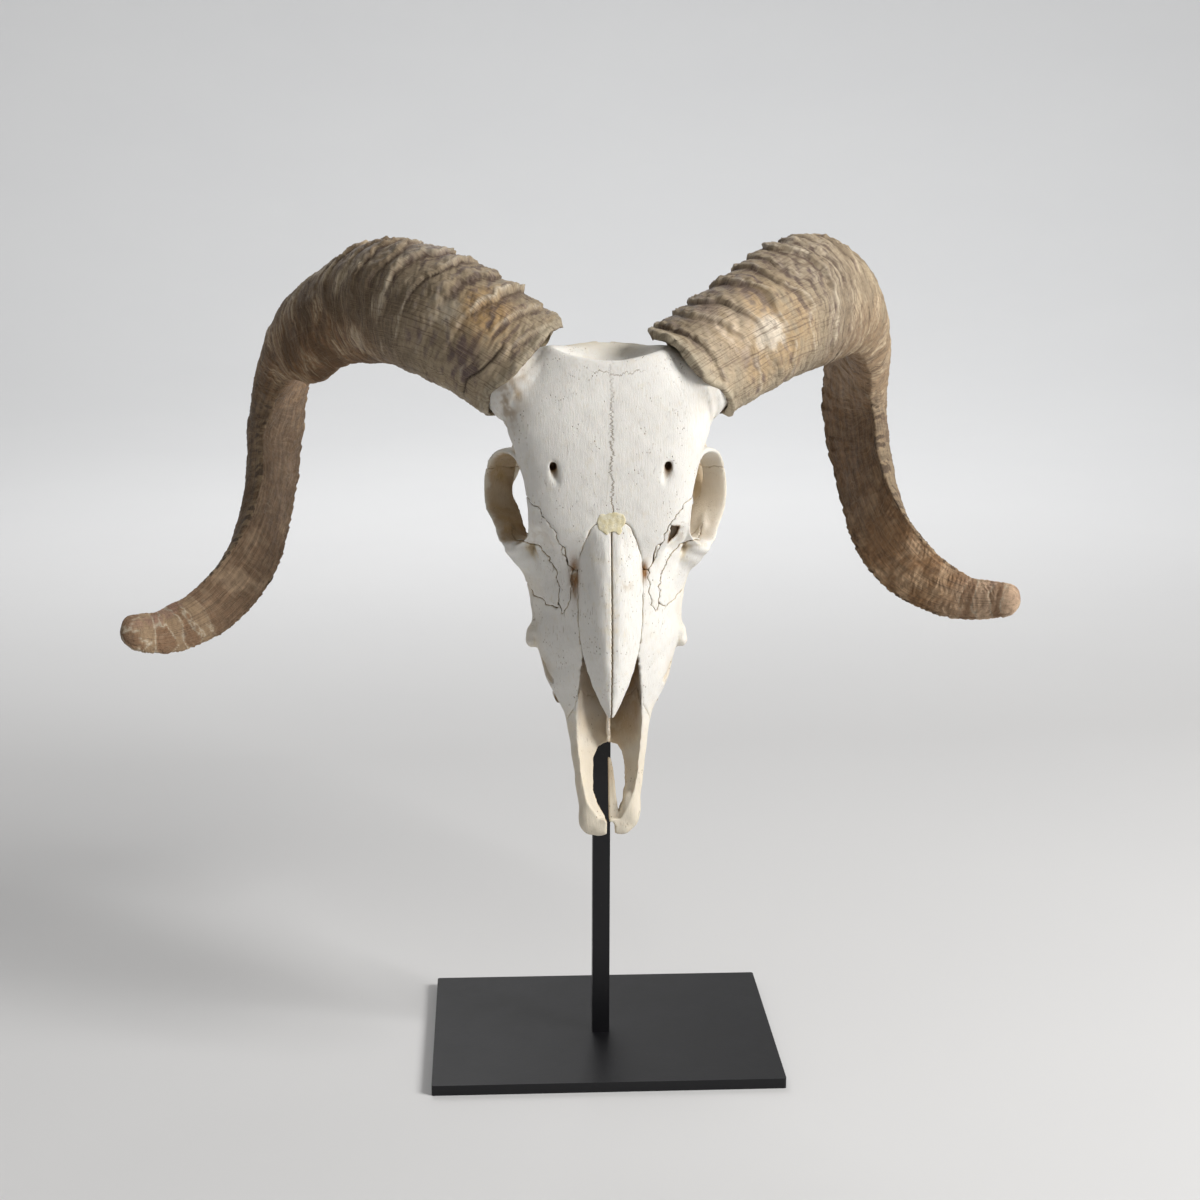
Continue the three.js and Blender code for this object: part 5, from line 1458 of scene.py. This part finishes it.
def pale_floor():
    """A round pale floor that curves up far away: its height follows the way past FLAT_RADIUS, to the
    power 2.4."""
    rings, columns = np.r_[0.02, np.linspace(0.3, FAR_RADIUS, 60)], 96
    turn = np.arange(columns) * 2 * math.pi / columns
    height = 0.09 * np.clip(rings - FLAT_RADIUS, 0, None) ** 2.4
    r = rings[:, None]
    points = np.stack([r * np.cos(turn), r * np.sin(turn), height[:, None] + 0 * turn], -1).reshape(-1, 3)
    ends = np.arange(columns)
    faces = grid_faces(len(rings), columns)
    centre = np.stack([ends, (ends + 1) % columns, 0 * ends + len(points)], 1)
    triangles = np.vstack([faces[:, [0, 2, 1]], faces[:, [0, 3, 2]], centre])
    mesh = bpy.data.meshes.new("floor")
    mesh.from_pydata(np.vstack([points, [[0, 0, 0]]]).tolist(), [], triangles.tolist())
    mesh.polygons.foreach_set("use_smooth", np.ones(len(mesh.polygons), bool))
    mesh.materials.append(floor_finish())
    floor = bpy.data.objects.new("floor", mesh)
    bpy.context.scene.collection.objects.link(floor)


def soft_light(name, place, aim, size, watts, colour):
    """A round soft lamp, size metres across, that shines towards aim."""
    data = bpy.data.lights.new(name, "AREA")
    data.shape, data.size, data.energy, data.color = "DISK", size, watts, colour
    light = bpy.data.objects.new(name, data)
    light.location = place
    light.rotation_euler = (Vector(aim) - Vector(place)).to_track_quat("-Z", "Y").to_euler()
    bpy.context.scene.collection.objects.link(light)


EYE = (-0.06405, -1.10998, 0.51680)
YAW, PITCH, ROLL = 0.0555, 0.2211, 0.0036      # radians


def camera():
    """A 60 mm lens a little above the skull, looking slightly down and to the right."""
    data = bpy.data.cameras.new("camera")
    data.lens, data.sensor_width, data.sensor_fit = 60, 36, "HORIZONTAL"
    ahead = Vector((math.sin(YAW) * math.cos(PITCH), math.cos(YAW) * math.cos(PITCH), -math.sin(PITCH)))
    right = Vector((math.cos(YAW), -math.sin(YAW), 0))
    up = right.cross(ahead)
    right, up = (right * math.cos(ROLL) + up * math.sin(ROLL), up * math.cos(ROLL) - right * math.sin(ROLL))
    turn = Matrix((right, up, -ahead)).transposed().to_4x4()
    made = bpy.data.objects.new("camera", data)
    made.matrix_world = Matrix.Translation(EYE) @ turn
    bpy.context.scene.collection.objects.link(made)
    bpy.context.scene.camera = made


pale_floor()
SKULL_HEIGHT = (0, 0, 0.3)
soft_light("key", (1.55, -0.85, 1.4), SKULL_HEIGHT, 0.9, 47, (1.0, 0.99, 0.975))
soft_light("fill", (-1.6, -1.3, 0.8), SKULL_HEIGHT, 1.4, 0.4, (1.0, 0.98, 0.95))
soft_light("back", (-0.4, 1.5, 1.7), SKULL_HEIGHT, 1.4, 11, (1.0, 1.0, 1.0))
soft_light("backdrop", (0.4, 1.6, 2.6), (0, 5.6, 1.1), 2.4, 90, (0.97, 0.985, 1.0))
world = bpy.data.worlds.new("studio")
world.use_nodes = True
sky = world.node_tree.nodes["Background"].inputs
sky["Color"].default_value, sky["Strength"].default_value = (1.0, 0.98, 0.955, 1), 0.23
bpy.context.scene.world = world
bpy.context.scene.view_settings.view_transform = "Standard"
camera()
